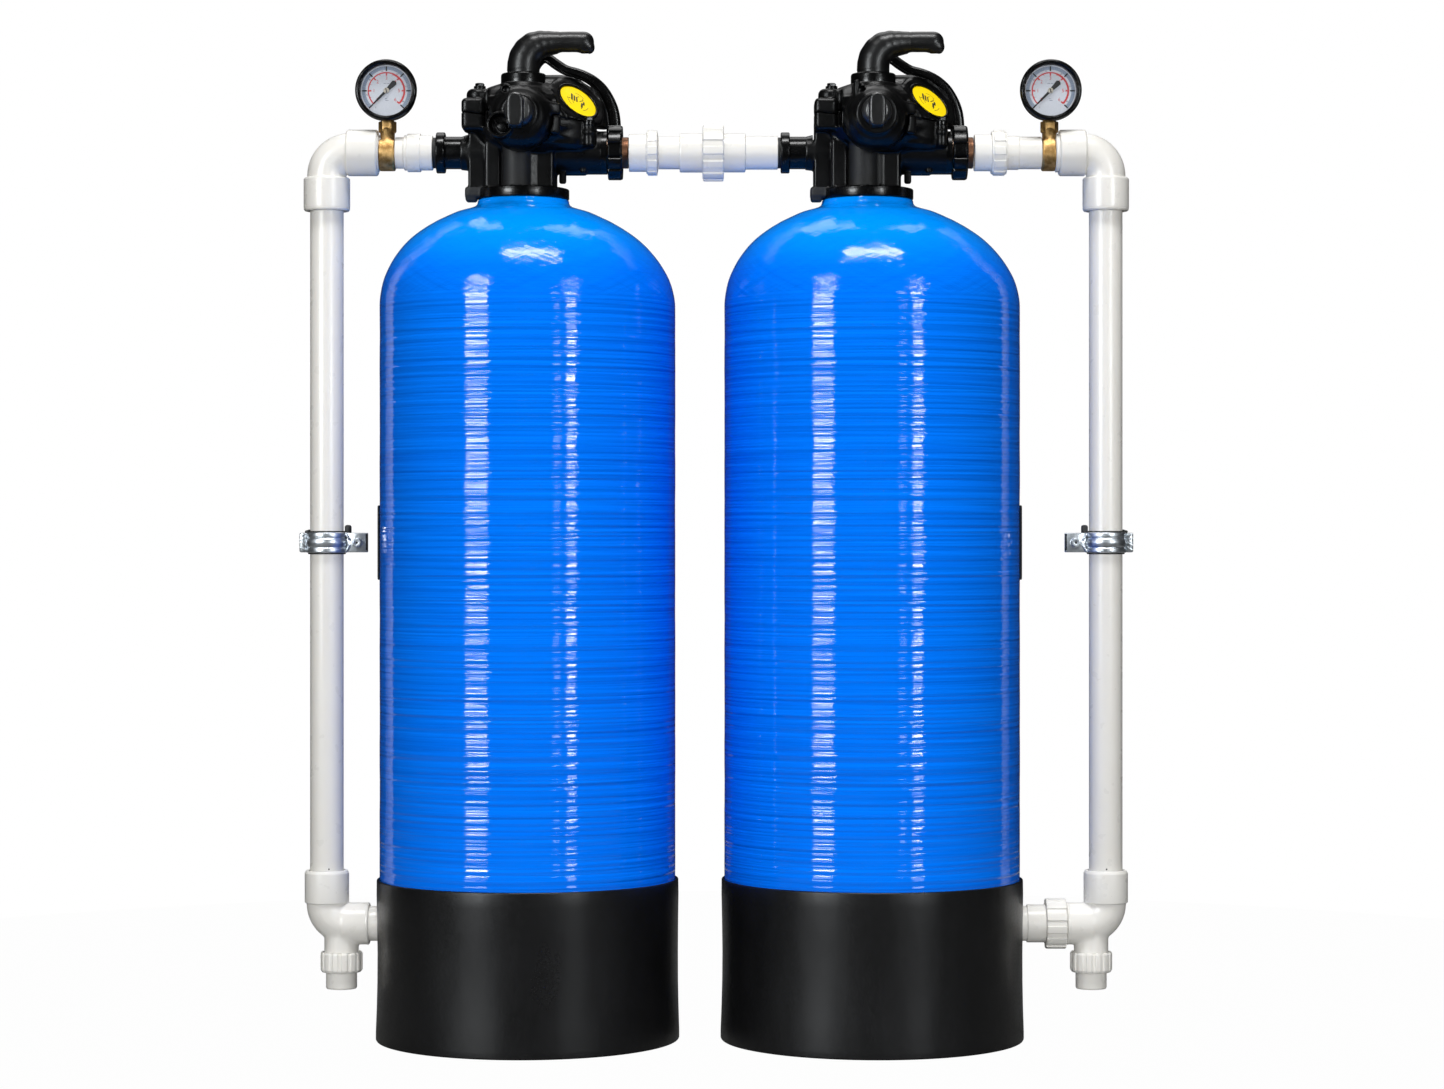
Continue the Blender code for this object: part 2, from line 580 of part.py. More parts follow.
def make_drain(side):
    s = SIGN[side]
    at = (-s * BRANCH_X, 0, 0)
    nut = turned(f"drain_nut_{side}",
                 [(20.6, 89.7), (21.8, 88.2), (21.8, 70.6), (20.0, 68.5), (16.4, 68.5), (16.4, 82.6), (18.1, 82.6), (18.1, 89.7)],
                 "pvc_white", at, steps=20, closed=True)
    stub = turned(f"drain_stub_{side}",
                  [(17.6, 85.3), (17.6, 83.0), (16.1, 83.0), (16.1, 52.2), (15.1, 51.2), (12.4, 51.2), (12.4, 85.3)],
                  "pvc_white", at, steps=20, closed=True)
    return nut, stub


def make_inlet_left():
    outer = -(TANK_X["L"] - 140.0)
    return ring("inlet_stub_L", 18.1, 14.0, outer, 377.2, "pvc_white", (0, 0, LOW_Z), "-X", 20)


def make_inlet_right():
    start = TANK_X["R"] + 140.0
    tail = turned("inlet_tail_R",
                  [(18.1, 377.2), (18.1, 341.8), (19.7, 341.4), (19.7, 322.0), (18.1, 321.6), (18.1, start), (14.0, start), (14.0, 377.2)],
                  "pvc_white", (0, 0, LOW_Z), "X", 20, closed=True)
    nut = ring("inlet_nut_R", 26.4, 20.0 + GAP, 341.0, 362.6, "pvc_white", (0, 0, LOW_Z), "X", 20, chamfer=1.4)
    return tail, nut


def make_link():
    """The run between the two valves, named left to right."""
    at = (0, 0, PORT_Z)
    start = valve_x("L") + 109.4
    adaptor = turned("link_adaptor",
                     [(17.2, -60.4), (23.0, -60.8), (23.7, -62.0), (23.7, -71.0), (22.0, -72.3), (19.6, -72.6), (19.6, start - 0.2 + GAP),
                      (17.0, start - 0.2 + GAP), (17.0, start + 14.0), (12.0, start + 14.0), (12.0, -60.4)],
                     "pvc_white", at, "X", 20, closed=True)
    pipe = ring("link_pipe", 17.0, 13.0, -60.1, -24.0, "pvc_white", at, "X", 20)
    end_l = turned("union_end_L",
                   [(22.4, -3.6), (22.4, -8.0), (20.3, -8.6), (20.3, -37.6), (19.6, -38.2), (17.0 + GAP, -38.2), (17.0 + GAP, -23.6), (13.0, -23.6), (13.0, -3.6)],
                   "pvc_white", at, "X", 20, closed=True)
    nut = turned("union_nut",
                 [(20.3 + GAP, 7.9), (27.6, 7.9), (29.6, 6.0), (29.6, -12.6), (28.0, -14.4), (20.3 + GAP, -14.4), (20.3 + GAP, -9.0),
                  (22.4 + GAP, -8.4), (22.4 + GAP, 2.6), (20.3 + GAP, 3.2)][::-1][::-1],
                 "pvc_white", at, "X", 24, closed=True)
    end_r_end = valve_x("R") - PORT_COLLAR_END - 2.6
    end_r = turned("union_end_R",
                   [(12.2, valve_x("R") - 66.0), (12.2, end_r_end), (16.0, end_r_end - 0.4), (16.0, 64.0), (17.2, 63.6), (17.2, 30.4), (20.2, 30.0),
                    (20.2, 3.0), (22.0, 2.4), (22.0, -3.2), (9.6, -3.2), (9.6, valve_x("R") - 66.0)],
                   "pvc_white", at, "X", 20, closed=True)
    return adaptor, pipe, end_l, nut, end_r


# ---- clamps ---------------------------------------------------------------------
def make_clamp(side):
    s = SIGN[side]
    at = (-s * RISER_X, 0, CLAMP_Z)
    # Band with a raised bead, then the closed lug outboard and the two screwed ears inboard.
    band = turned(f"clamp_band_{side}",
                  [(21.6, 10.6), (21.6, 6.4), (22.7, 4.4), (22.7, -4.4), (21.6, -6.4), (21.6, -10.6), (19.9, -10.6), (19.9, 10.6)],
                  "zinc", at, steps=28, closed=True)
    lug = box(f"add_outlug_{side}", (8.0, 13.0, 21.0), (-s * (RISER_X + 24.1), 0, CLAMP_Z), bevel=1.2)
    ear_front = box(f"add_ear_f_{side}", (21.5, 2.4, 20.4), (-s * (RISER_X - 31.6), -5.0, CLAMP_Z), bevel=0.8)
    ear_back = box(f"add_ear_b_{side}", (21.5, 2.4, 20.4), (-s * (RISER_X - 31.6), 5.0, CLAMP_Z), bevel=0.8)
    join(band, lug, ear_front, ear_back)
    slit = box(f"cut_slit_{side}", (20, 7.0, 24), (-s * (RISER_X - 26.0), 0, CLAMP_Z))
    cut(band, slit)
    screw_x = -s * (RISER_X - 31.9)
    cut(band, rod(f"cut_screwhole_{side}", 2.8, -10, 10, at=(screw_x, 0, CLAMP_Z), along="-Y", steps=12))
    liner = turned(f"clamp_liner_{side}",
                   [(19.6, 12.4), (19.6, -12.4), (RISER_R + GAP, -12.4), (RISER_R + GAP, 12.4)],
                   "rubber", at, steps=28, closed=True)
    screw = rod(f"clamp_screw_{side}", 4.8, 6.5, 9.4, "zinc", (screw_x, 0, CLAMP_Z), "-Y", 16, chamfer=0.7)
    join(screw, rod(f"add_shank_{side}", 2.5, -11.0, 7.0, at=(screw_x, 0, CLAMP_Z), along="-Y", steps=12))
    return band, liner, screw


def make_saddle(side):
    x = TANK_X[side]
    out = -1 if side == "L" else 1
    low, high = CLAMP_Z - SADDLE_H / 2, CLAMP_Z + SADDLE_H / 2
    obj = ring(f"clamp_saddle_{side}", TANK_R + 2.2, TANK_R + 0.5, low, high, "rubber", (x, 0, 0), steps=96)
    keep = box(f"keep_saddle_{side}", (40, 38, 200), (x + out * 150, 0, CLAMP_Z))
    combine(obj, keep, "INTERSECT")
    return obj


for side in SIDES:
    make_tank(side)
    make_boot(side)
    make_distributor(side)
    make_valve_body(side)
    make_valve_cover(side)
    make_valve_bridge(side)
    make_spindle(side)
    make_lever(side)
    make_knob(side)
    make_port_nut(side)
    make_port_nipple(side)
    make_gauge(side)
    make_gauge_tee(side)
    make_port_adaptor(side)
    make_top_elbow(side)
    make_riser(side)
    make_bottom_elbow(side)
    make_drain(side)
    make_clamp(side)
    make_saddle(side)
make_inlet_left()
make_inlet_right()
make_link()

for part in PARTS.objects:
    shade(part)
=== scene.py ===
"""Looks of the duplex pressure-vessel filter set: modelled skins over the CAD frame,
their finishes, and a plain white studio."""

import math

import bpy
import numpy as np
import openvdb
from mathutils import Matrix, Vector


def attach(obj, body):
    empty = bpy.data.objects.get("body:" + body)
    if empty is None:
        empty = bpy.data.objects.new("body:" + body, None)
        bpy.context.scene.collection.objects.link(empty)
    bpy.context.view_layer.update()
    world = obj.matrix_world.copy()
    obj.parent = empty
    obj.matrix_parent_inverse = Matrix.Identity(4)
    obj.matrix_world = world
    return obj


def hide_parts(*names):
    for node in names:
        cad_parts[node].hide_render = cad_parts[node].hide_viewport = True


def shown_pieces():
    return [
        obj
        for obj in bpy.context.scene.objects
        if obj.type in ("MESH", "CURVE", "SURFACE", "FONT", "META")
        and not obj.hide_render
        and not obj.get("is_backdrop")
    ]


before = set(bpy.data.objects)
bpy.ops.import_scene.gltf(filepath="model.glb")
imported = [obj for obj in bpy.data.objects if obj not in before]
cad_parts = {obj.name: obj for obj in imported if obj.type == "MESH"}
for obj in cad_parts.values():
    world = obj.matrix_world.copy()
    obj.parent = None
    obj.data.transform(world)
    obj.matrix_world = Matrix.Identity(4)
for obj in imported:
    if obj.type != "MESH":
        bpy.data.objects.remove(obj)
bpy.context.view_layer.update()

MM = 0.001
ROOT = "filter_set"
TANK_X = {"L": -195.7, "R": 161.5}
VALVE_X = {"L": -200.2, "R": 157.0}
HEAD_X = {"L": -200.2, "R": 163.0}
TANK_R = 153.2
PORT_Z = 918.5
LOW_Z = 118.6
RISER_X = 404.3
BRANCH_X = 389.1
GAUGE_X = {"L": -341.4, "R": 345.8}
TEE_X = {"L": -341.4, "R": 344.6}
GAUGE_Z = 981.6
KNOB_Z = 952.0
CLAMP_Z = 514.0
OUT = {"L": -1.0, "R": 1.0}          # towards the outside on each side


# ============================================================================
# Shells: (vertices in mm, list of faces). Several shells make one piece.
# ============================================================================
def volume(verts, faces):
    total = 0.0
    for size in (3, 4):
        some = np.array([f for f in faces if len(f) == size], dtype=np.int64)
        if not len(some):
            continue
        a = verts[some[:, 0]]
        for k in range(1, size - 1):
            total += np.einsum("ij,ij->i", a, np.cross(verts[some[:, k]], verts[some[:, k + 1]])).sum()
    return total / 6.0


def outward(shell):
    verts, faces = shell
    if volume(verts, faces) < 0:
        faces = [tuple(reversed(f)) for f in faces]
    return verts, faces


def moved(shell, matrix=None, at=(0, 0, 0)):
    verts, faces = shell
    if matrix is not None:
        verts = verts @ np.array(matrix.to_3x3()).T
    return outward((verts + np.array(at, float), faces))


def soft(points, f=0.8, closed=False, n=3):
    """The profile with its corners rounded. A point may carry its own radius."""
    pts = [tuple(p) if len(p) == 3 else (*p, f) for p in points]
    out = []
    count = len(pts)
    for i, (r, h, radius) in enumerate(pts):
        if not closed and i in (0, count - 1) or radius <= 0:
            out.append((r, h))
            continue
        p = np.array((r, h))
        a = np.array(pts[i - 1][:2]) - p
        b = np.array(pts[(i + 1) % count][:2]) - p
        la, lb = np.linalg.norm(a), np.linalg.norm(b)
        if la < 1e-6 or lb < 1e-6:
            out.append((r, h))
            continue
        a, b = a / la, b / lb
        angle = math.acos(max(-1.0, min(1.0, float(a @ b))))
        if angle > math.radians(172):
            out.append((r, h))
            continue
        reach = min(radius / math.tan(angle / 2), 0.46 * la, 0.46 * lb)
        start, end = p + a * reach, p + b * reach
        for k in range(n + 1):
            t = k / n
            q = (1 - t) ** 2 * start + 2 * t * (1 - t) * p + t ** 2 * end
            out.append((max(float(q[0]), 0.0), float(q[1])))
    return out


AXES = {
    "Z": Matrix.Identity(3),
    "X": Matrix.Rotation(math.radians(90), 3, "Y"),
    "-X": Matrix.Rotation(math.radians(-90), 3, "Y"),
    "-Y": Matrix.Rotation(math.radians(90), 3, "X"),
    "Y": Matrix.Rotation(math.radians(-90), 3, "X"),
}


def lathe(profile, n=96, at=(0, 0, 0), along="Z", closed=False, shape=None):
    """A turned shell. shape(radius, height, angle) may vary the radius round it."""
    pts = np.array(profile, float)
    m = len(pts)
    angle = np.arange(n) * math.tau / n
    radius = np.repeat(pts[:, :1], n, 1)
    height = np.repeat(pts[:, 1:2], n, 1)
    if shape is not None:
        radius = shape(radius, height, np.broadcast_to(angle, radius.shape))
    full = np.stack([radius * np.cos(angle), radius * np.sin(angle), height], -1)
    index = np.arange(m * n).reshape(m, n)
    for i in range(m):
        if pts[i, 0] < 1e-6:
            index[i, :] = index[i, 0]
    faces = []
    for i in range(m if closed else m - 1):
        a, b = index[i], index[(i + 1) % m]
        a2, b2 = np.roll(a, -1), np.roll(b, -1)
        if a[0] == a[1] and b[0] == b[1]:
            continue
        if a[0] == a[1]:
            faces += list(zip(a.tolist(), b2.tolist(), b.tolist()))
        elif b[0] == b[1]:
            faces += list(zip(a.tolist(), a2.tolist(), b.tolist()))
        else:
            faces += list(zip(a.tolist(), a2.tolist(), b2.tolist(), b.tolist()))
    turn = AXES[along] if isinstance(along, str) else along
    return moved((full.reshape(-1, 3), faces), turn, at)


def ringed(profile, n=96, at=(0, 0, 0), along="Z", f=0.8, shape=None):
    return lathe(soft(profile, f, closed=True), n, at, along, True, shape)


def solid(profile, n=96, at=(0, 0, 0), along="Z", f=0.8, shape=None):
    return lathe(soft(profile, f), n, at, along, False, shape)


def sweep(path, n=40, power=2.0, side=(0, 1, 0)):
    """A shell along x, y, z, a, b rows: a is its half size in the path's plane, b across it."""
    path = np.array([p if len(p) == 5 else (*p, p[3]) for p in path], float)
    m = len(path)
    centre = path[:, :3]
    tangent = np.gradient(centre, axis=0)
    tangent /= np.linalg.norm(tangent, axis=1)[:, None]
    across = np.array(side, float) - (tangent @ np.array(side, float))[:, None] * tangent
    across /= np.linalg.norm(across, axis=1)[:, None]
    up = np.cross(tangent, across)
    angle = np.arange(n) * math.tau / n
    c, s = np.cos(angle), np.sin(angle)
    c = np.sign(c) * np.abs(c) ** (2 / power)
    s = np.sign(s) * np.abs(s) ** (2 / power)
    ringsv = centre[:, None] + up[:, None] * (path[:, 3, None] * c)[..., None] + across[:, None] * (path[:, 4, None] * s)[..., None]
    verts = np.concatenate([ringsv.reshape(-1, 3), centre[:1], centre[-1:]])
    faces = []
    index = np.arange(m * n).reshape(m, n)
    for i in range(m - 1):
        a, b = index[i], index[i + 1]
        faces += list(zip(a.tolist(), np.roll(a, -1).tolist(), np.roll(b, -1).tolist(), b.tolist()))
    first, last = m * n, m * n + 1
    faces += [(first, int(q), int(p)) for p, q in zip(index[0], np.roll(index[0], -1))]
    faces += [(last, int(p), int(q)) for p, q in zip(index[-1], np.roll(index[-1], -1))]
    return outward((verts, faces))


def smooth_path(points, per=6):
    """Catmull-Rom through the rows."""
    p = np.array(points, float)
    p = np.concatenate([2 * p[:1] - p[1:2], p, 2 * p[-1:] - p[-2:-1]])
    out = []
    for i in range(1, len(p) - 2):
        for k in range(per):
            t = k / per
            out.append(0.5 * ((2 * p[i]) + (-p[i - 1] + p[i + 1]) * t
                              + (2 * p[i - 1] - 5 * p[i] + 4 * p[i + 1] - p[i + 2]) * t ** 2
                              + (-p[i - 1] + 3 * p[i] - 3 * p[i + 1] + p[i + 2]) * t ** 3))
    out.append(p[-2])
    return np.array(out)


def slab(size, at=(0, 0, 0), turn=None, f=0.6):
    """A block with its edges and corners rounded off in two steps."""
    hx, hy, hz = (s / 2 for s in size)
    f = min(f, hx * 0.9, hy * 0.9, hz * 0.9)
    loops = []
    steps = [(-hz, f), (-hz + f * 0.3, f * 0.3), (-hz + f, 0), (hz - f, 0), (hz - f * 0.3, f * 0.3), (hz, f)]
    for z, inset in steps:
        x, y = hx - inset, hy - inset
        c = max(f - inset * 0.5, f * 0.35)
        loop = []
        for sx, sy, order in ((1, 1, (0, 1, 2)), (-1, 1, (2, 1, 0)), (-1, -1, (0, 1, 2)), (1, -1, (2, 1, 0))):
            corner = [(x, y - c), (x - c * 0.3, y - c * 0.3), (x - c, y)]
            for k in order:
                px, py = corner[k]
                loop.append((sx * px, sy * py, z))
        loops.append(loop)
    n = len(loops[0])
    verts = np.array([p for loop in loops for p in loop] + [(0, 0, -hz), (0, 0, hz)], float)
    faces = []
    for i in range(len(loops) - 1):
        for j in range(n):
            k = (j + 1) % n
            faces.append((i * n + j, i * n + k, (i + 1) * n + k, (i + 1) * n + j))
    low, high = len(verts) - 2, len(verts) - 1
    base = (len(loops) - 1) * n
    for j in range(n):
        k = (j + 1) % n
        faces.append((low, k, j))
        faces.append((high, base + j, base + k))
    return moved((verts, faces), turn, at)


def plate(outline, low, high, turn=None, at=(0, 0, 0), f=0.0):
    """A flat plate with the outline (x, y) between two heights; f chamfers its upper edge."""
    outline = np.array(outline, float)
    n = len(outline)
    centre = outline.mean(0)
    rows = [np.c_[outline, np.full(n, low)]]
    if f:
        inward = centre - outline
        inward /= np.maximum(np.linalg.norm(inward, axis=1), 1e-9)[:, None]
        rows += [np.c_[outline, np.full(n, high - f)], np.c_[outline + inward * f, np.full(n, high)]]
    else:
        rows += [np.c_[outline, np.full(n, high)]]
    verts = np.concatenate(rows + [[[*centre, low], [*centre, high]]])
    faces = []
    for i in range(len(rows) - 1):
        for j in range(n):
            k = (j + 1) % n
            faces.append((i * n + j, i * n + k, (i + 1) * n + k, (i + 1) * n + j))
    a, b = len(verts) - 2, len(verts) - 1
    base = (len(rows) - 1) * n
    for j in range(n):
        k = (j + 1) % n
        faces += [(a, k, j), (b, base + j, base + k)]
    return moved((verts, faces), turn, at)


def circle(radius, n=48, centre=(0, 0), a0=0.0, a1=math.tau):
    return [(centre[0] + radius * math.cos(a0 + (a1 - a0) * i / n), centre[1] + radius * math.sin(a0 + (a1 - a0) * i / n)) for i in range(n)]


def arc_band(radius, width, a0, a1, low, high, n=40, turn=None, at=(0, 0, 0)):
    """A thin flat band along an arc; angles in radians."""
    verts, faces = [], []
    for i in range(n + 1):
        a = a0 + (a1 - a0) * i / n
        for r, z in ((radius - width / 2, low), (radius + width / 2, low), (radius + width / 2, high), (radius - width / 2, high)):
            verts.append((r * math.cos(a), r * math.sin(a), z))
    for i in range(n):
        for k in range(4):
            j = (k + 1) % 4
            faces.append((i * 4 + k, i * 4 + j, i * 4 + 4 + j, i * 4 + 4 + k))
    faces += [(3, 2, 1, 0), (n * 4, n * 4 + 1, n * 4 + 2, n * 4 + 3)]
    return moved((np.array(verts), faces), turn, at)


# ============================================================================
# Cast shapes: a signed distance field on a grid, turned into a skin.
# ============================================================================
class Cast:
    def __init__(self, low, high, step):
        self.low = np.array(low, np.float32)
        self.step = step
        self.count = np.ceil((np.array(high) - np.array(low)) / step).astype(int) + 1
        self.field = np.full(self.count, 9.0, np.float32)

    def block(self, low, high):
        i0 = np.clip(np.floor((np.array(low) - self.low) / self.step).astype(int), 0, self.count)
        i1 = np.clip(np.ceil((np.array(high) - self.low) / self.step).astype(int) + 1, 0, self.count)
        axes = [self.low[k] + self.step * np.arange(i0[k], i1[k], dtype=np.float32) for k in range(3)]
        part = tuple(slice(a, b) for a, b in zip(i0, i1))
        return part, np.meshgrid(*axes, indexing="ij", sparse=True)

    def add(self, item, k=1.5):
        fn, low, high = item
        pad = 6.0 + k
        part, (x, y, z) = self.block(np.array(low) - pad, np.array(high) + pad)
        if 0 in self.field[part].shape:
            return self
        a, b = self.field[part], fn(x, y, z).astype(np.float32)
        if k > 0:
            h = np.maximum(k - np.abs(a - b), 0) / k
            self.field[part] = np.minimum(a, b) - h * h * k * 0.25
        else:
            self.field[part] = np.minimum(a, b)
        return self

    def cut(self, item, k=0.8):
        fn, low, high = item
        pad = 3.0 + k
        part, (x, y, z) = self.block(np.array(low) - pad, np.array(high) + pad)
        if 0 in self.field[part].shape:
            return self
        a, b = self.field[part], -fn(x, y, z).astype(np.float32)
        if k > 0:
            h = np.maximum(k - np.abs(a - b), 0) / k
            self.field[part] = np.maximum(a, b) + h * h * k * 0.25
        else:
            self.field[part] = np.maximum(a, b)
        return self

    def keep(self, fn, k=0.4):
        part, (x, y, z) = self.block(self.low, self.low + self.step * self.count)
        a, b = self.field, fn(x, y, z).astype(np.float32)
        h = np.maximum(k - np.abs(a - b), 0) / k
        self.field = np.maximum(a, b) + h * h * k * 0.25
        return self

    def skin(self, adaptive=0.0):
        grid = openvdb.FloatGrid(background=9.0)
        field = self.field.copy()
        for axis in range(3):                # a closed skin at the grid's own faces too
            head = [slice(None)] * 3
            for end in (0, -1):
                head[axis] = end
                field[tuple(head)] = 9.0
        grid.copyFromArray(field)
        points, tris, quads = grid.convertToPolygons(isovalue=0.0, adaptivity=adaptive)
        verts = np.array(points, float) * self.step + self.low
        faces = [tuple(int(i) for i in f) for f in quads] + [tuple(int(i) for i in f) for f in tris]
        return outward((verts, faces))


def c_cyl(base, axis, radius, length, r=1.0):
    """A cylinder from base along axis, its edges rounded by r."""
    base, axis = np.array(base, float), np.array(axis, float)
    axis /= np.linalg.norm(axis)
    tip = base + axis * length
    reach = radius * np.sqrt(np.maximum(0, 1 - axis ** 2))

    def fn(x, y, z):
        h = (x - base[0]) * axis[0] + (y - base[1]) * axis[1] + (z - base[2]) * axis[2]
        d2 = (x - base[0]) ** 2 + (y - base[1]) ** 2 + (z - base[2]) ** 2 - h * h
        q1 = np.sqrt(np.maximum(d2, 0)) - (radius - r)
        q2 = np.abs(h - length / 2) - (length / 2 - r)
        return np.minimum(np.maximum(q1, q2), 0) + np.sqrt(np.maximum(q1, 0) ** 2 + np.maximum(q2, 0) ** 2) - r
    return fn, np.minimum(base, tip) - reach, np.maximum(base, tip) + reach


def c_box(centre, size, turn=None, r=1.0):
    centre = np.array(centre, float)
    half = np.array(size, float) / 2
    rot = np.eye(3) if turn is None else np.array(turn.to_3x3())
    reach = np.abs(rot) @ half

    def fn(x, y, z):
        px, py, pz = x - centre[0], y - centre[1], z - centre[2]
        q = []
        for k in range(3):
            local = px * rot[0, k] + py * rot[1, k] + pz * rot[2, k]
            q.append(np.abs(local) - (half[k] - r))
        inside = np.minimum(np.maximum(np.maximum(q[0], q[1]), q[2]), 0)
        return inside + np.sqrt(np.maximum(q[0], 0) ** 2 + np.maximum(q[1], 0) ** 2 + np.maximum(q[2], 0) ** 2) - r
    return fn, centre - reach, centre + reach


def c_turned(base, axis, profile, r=0.0):
    """The solid of a closed (radius, height) outline turned round an axis."""
    base, axis = np.array(base, float), np.array(axis, float)
    axis /= np.linalg.norm(axis)
    poly = np.array(profile, float)
    tips = [base + axis * h for h in (poly[:, 1].min(), poly[:, 1].max())]
    reach = poly[:, 0].max() * np.sqrt(np.maximum(0, 1 - axis ** 2))

    def fn(x, y, z):
        h = (x - base[0]) * axis[0] + (y - base[1]) * axis[1] + (z - base[2]) * axis[2]
        d2 = (x - base[0]) ** 2 + (y - base[1]) ** 2 + (z - base[2]) ** 2 - h * h
        rho = np.sqrt(np.maximum(d2, 0))
        h = np.broadcast_to(h, rho.shape)
        best = np.full(rho.shape, 1e9, np.float32)
        sign = np.ones(rho.shape, np.float32)
        for i in range(len(poly)):
            a, b = poly[i - 1], poly[i]
            e = b - a
            wx, wy = rho - a[0], h - a[1]
            t = np.clip((wx * e[0] + wy * e[1]) / max(e @ e, 1e-9), 0, 1)
            best = np.minimum(best, (wx - e[0] * t) ** 2 + (wy - e[1] * t) ** 2)
            c1 = h >= a[1]
            c2 = h < b[1]
            c3 = e[0] * wy > e[1] * wx
            flip = (c1 & c2 & c3) | (~c1 & ~c2 & ~c3)
            sign[flip] *= -1
        return sign * np.sqrt(best) - r
    return fn, np.minimum(*tips) - reach - r, np.maximum(*tips) + reach + r


def c_chain(points, squash=None):
    """Round rod through x, y, z, radius rows."""
    p = np.array(points, float)
    low = (p[:, :3] - p[:, 3:4]).min(0)
    high = (p[:, :3] + p[:, 3:4]).max(0)

    def fn(x, y, z):
        best = None
        for i in range(len(p) - 1):
            a, b = p[i], p[i + 1]
            e = b[:3] - a[:3]
            t = np.clip(((x - a[0]) * e[0] + (y - a[1]) * e[1] + (z - a[2]) * e[2]) / max(e @ e, 1e-9), 0, 1)
            d = np.sqrt((x - a[0] - e[0] * t) ** 2 + (y - a[1] - e[1] * t) ** 2 + (z - a[2] - e[2] * t) ** 2) - (a[3] + (b[3] - a[3]) * t)
            best = d if best is None else np.minimum(best, d)
        return best
    return fn, low, high


# ============================================================================
# Finishes
# ============================================================================
class Finish:
    """A small node graph builder over one Principled shader."""

    def __init__(self, name, base=(0.5, 0.5, 0.5), rough=0.4, metal=0.0, **more):
        self.mat = bpy.data.materials.new(name)
        self.mat.use_nodes = True
        self.nt = self.mat.node_tree
        self.bsdf = self.nt.nodes["Principled BSDF"]
        self.set("Base Color", (*base, 1.0))
        self.set("Roughness", rough)
        self.set("Metallic", metal)
        for key, value in more.items():
            self.set(key.replace("_", " "), value)
        self._coord = None

    def set(self, socket, value):
        self.bsdf.inputs[socket].default_value = value

    def link(self, a, b):
        self.nt.links.new(a, b)

    def node(self, kind, **props):
        node = self.nt.nodes.new(kind)
        for key, value in props.items():
            setattr(node, key, value)
        return node

    def coord(self):
        if self._coord is None:
            self._coord = self.node("ShaderNodeTexCoord").outputs["Object"]
        return self._coord

    def scaled(self, scale, source=None, offset=(0, 0, 0), turn=(0, 0, 0)):
        mapping = self.node("ShaderNodeMapping")
        mapping.inputs["Scale"].default_value = scale
        mapping.inputs["Location"].default_value = offset
        mapping.inputs["Rotation"].default_value = turn
        self.link(source or self.coord(), mapping.inputs["Vector"])
        return mapping.outputs["Vector"]

    def noise(self, scale, detail=3.0, rough=0.55, source=None, distortion=0.0):
        node = self.node("ShaderNodeTexNoise")
        node.inputs["Scale"].default_value = scale
        node.inputs["Detail"].default_value = detail
        node.inputs["Roughness"].default_value = rough
        node.inputs["Distortion"].default_value = distortion
        self.link(source or self.coord(), node.inputs["Vector"])
        return node.outputs["Fac"]

    def ramp(self, source, low, high, out_low=0.0, out_high=1.0):
        node = self.node("ShaderNodeMapRange")
        node.inputs["From Min"].default_value = low
        node.inputs["From Max"].default_value = high
        node.inputs["To Min"].default_value = out_low
        node.inputs["To Max"].default_value = out_high
        self.link(source, node.inputs["Value"])
        return node.outputs["Result"]

    def math(self, op, a, b=0.0):
        node = self.node("ShaderNodeMath", operation=op)
        for socket, value in zip(node.inputs, (a, b)):
            if isinstance(value, (int, float)):
                socket.default_value = value
            else:
                self.link(value, socket)
        return node.outputs[0]

    def mix(self, fac, a, b):
        node = self.node("ShaderNodeMix", data_type="RGBA")
        if isinstance(fac, (int, float)):
            node.inputs["Factor"].default_value = fac
        else:
            self.link(fac, node.inputs["Factor"])
        for socket, value in ((node.inputs["A"], a), (node.inputs["B"], b)):
            socket = [s for s in node.inputs if s.name == socket.name and s.type == "RGBA"][0]
            if isinstance(value, tuple):
                socket.default_value = (*value[:3], 1.0)
            else:
                self.link(value, socket)
        return [s for s in node.outputs if s.type == "RGBA"][0]

    def color(self, source):
        self.link(source, self.bsdf.inputs["Base Color"])
        return self

    def rough(self, source):
        self.link(source, self.bsdf.inputs["Roughness"])
        return self

    def bump(self, source, strength=0.3, distance=0.0005, under=None):
        node = self.node("ShaderNodeBump")
        node.inputs["Strength"].default_value = strength
        node.inputs["Distance"].default_value = distance
        self.link(source, node.inputs["Height"])
        if under is not None:
            self.link(under, node.inputs["Normal"])
        self.link(node.outputs["Normal"], self.bsdf.inputs["Normal"])
        return node.outputs["Normal"]


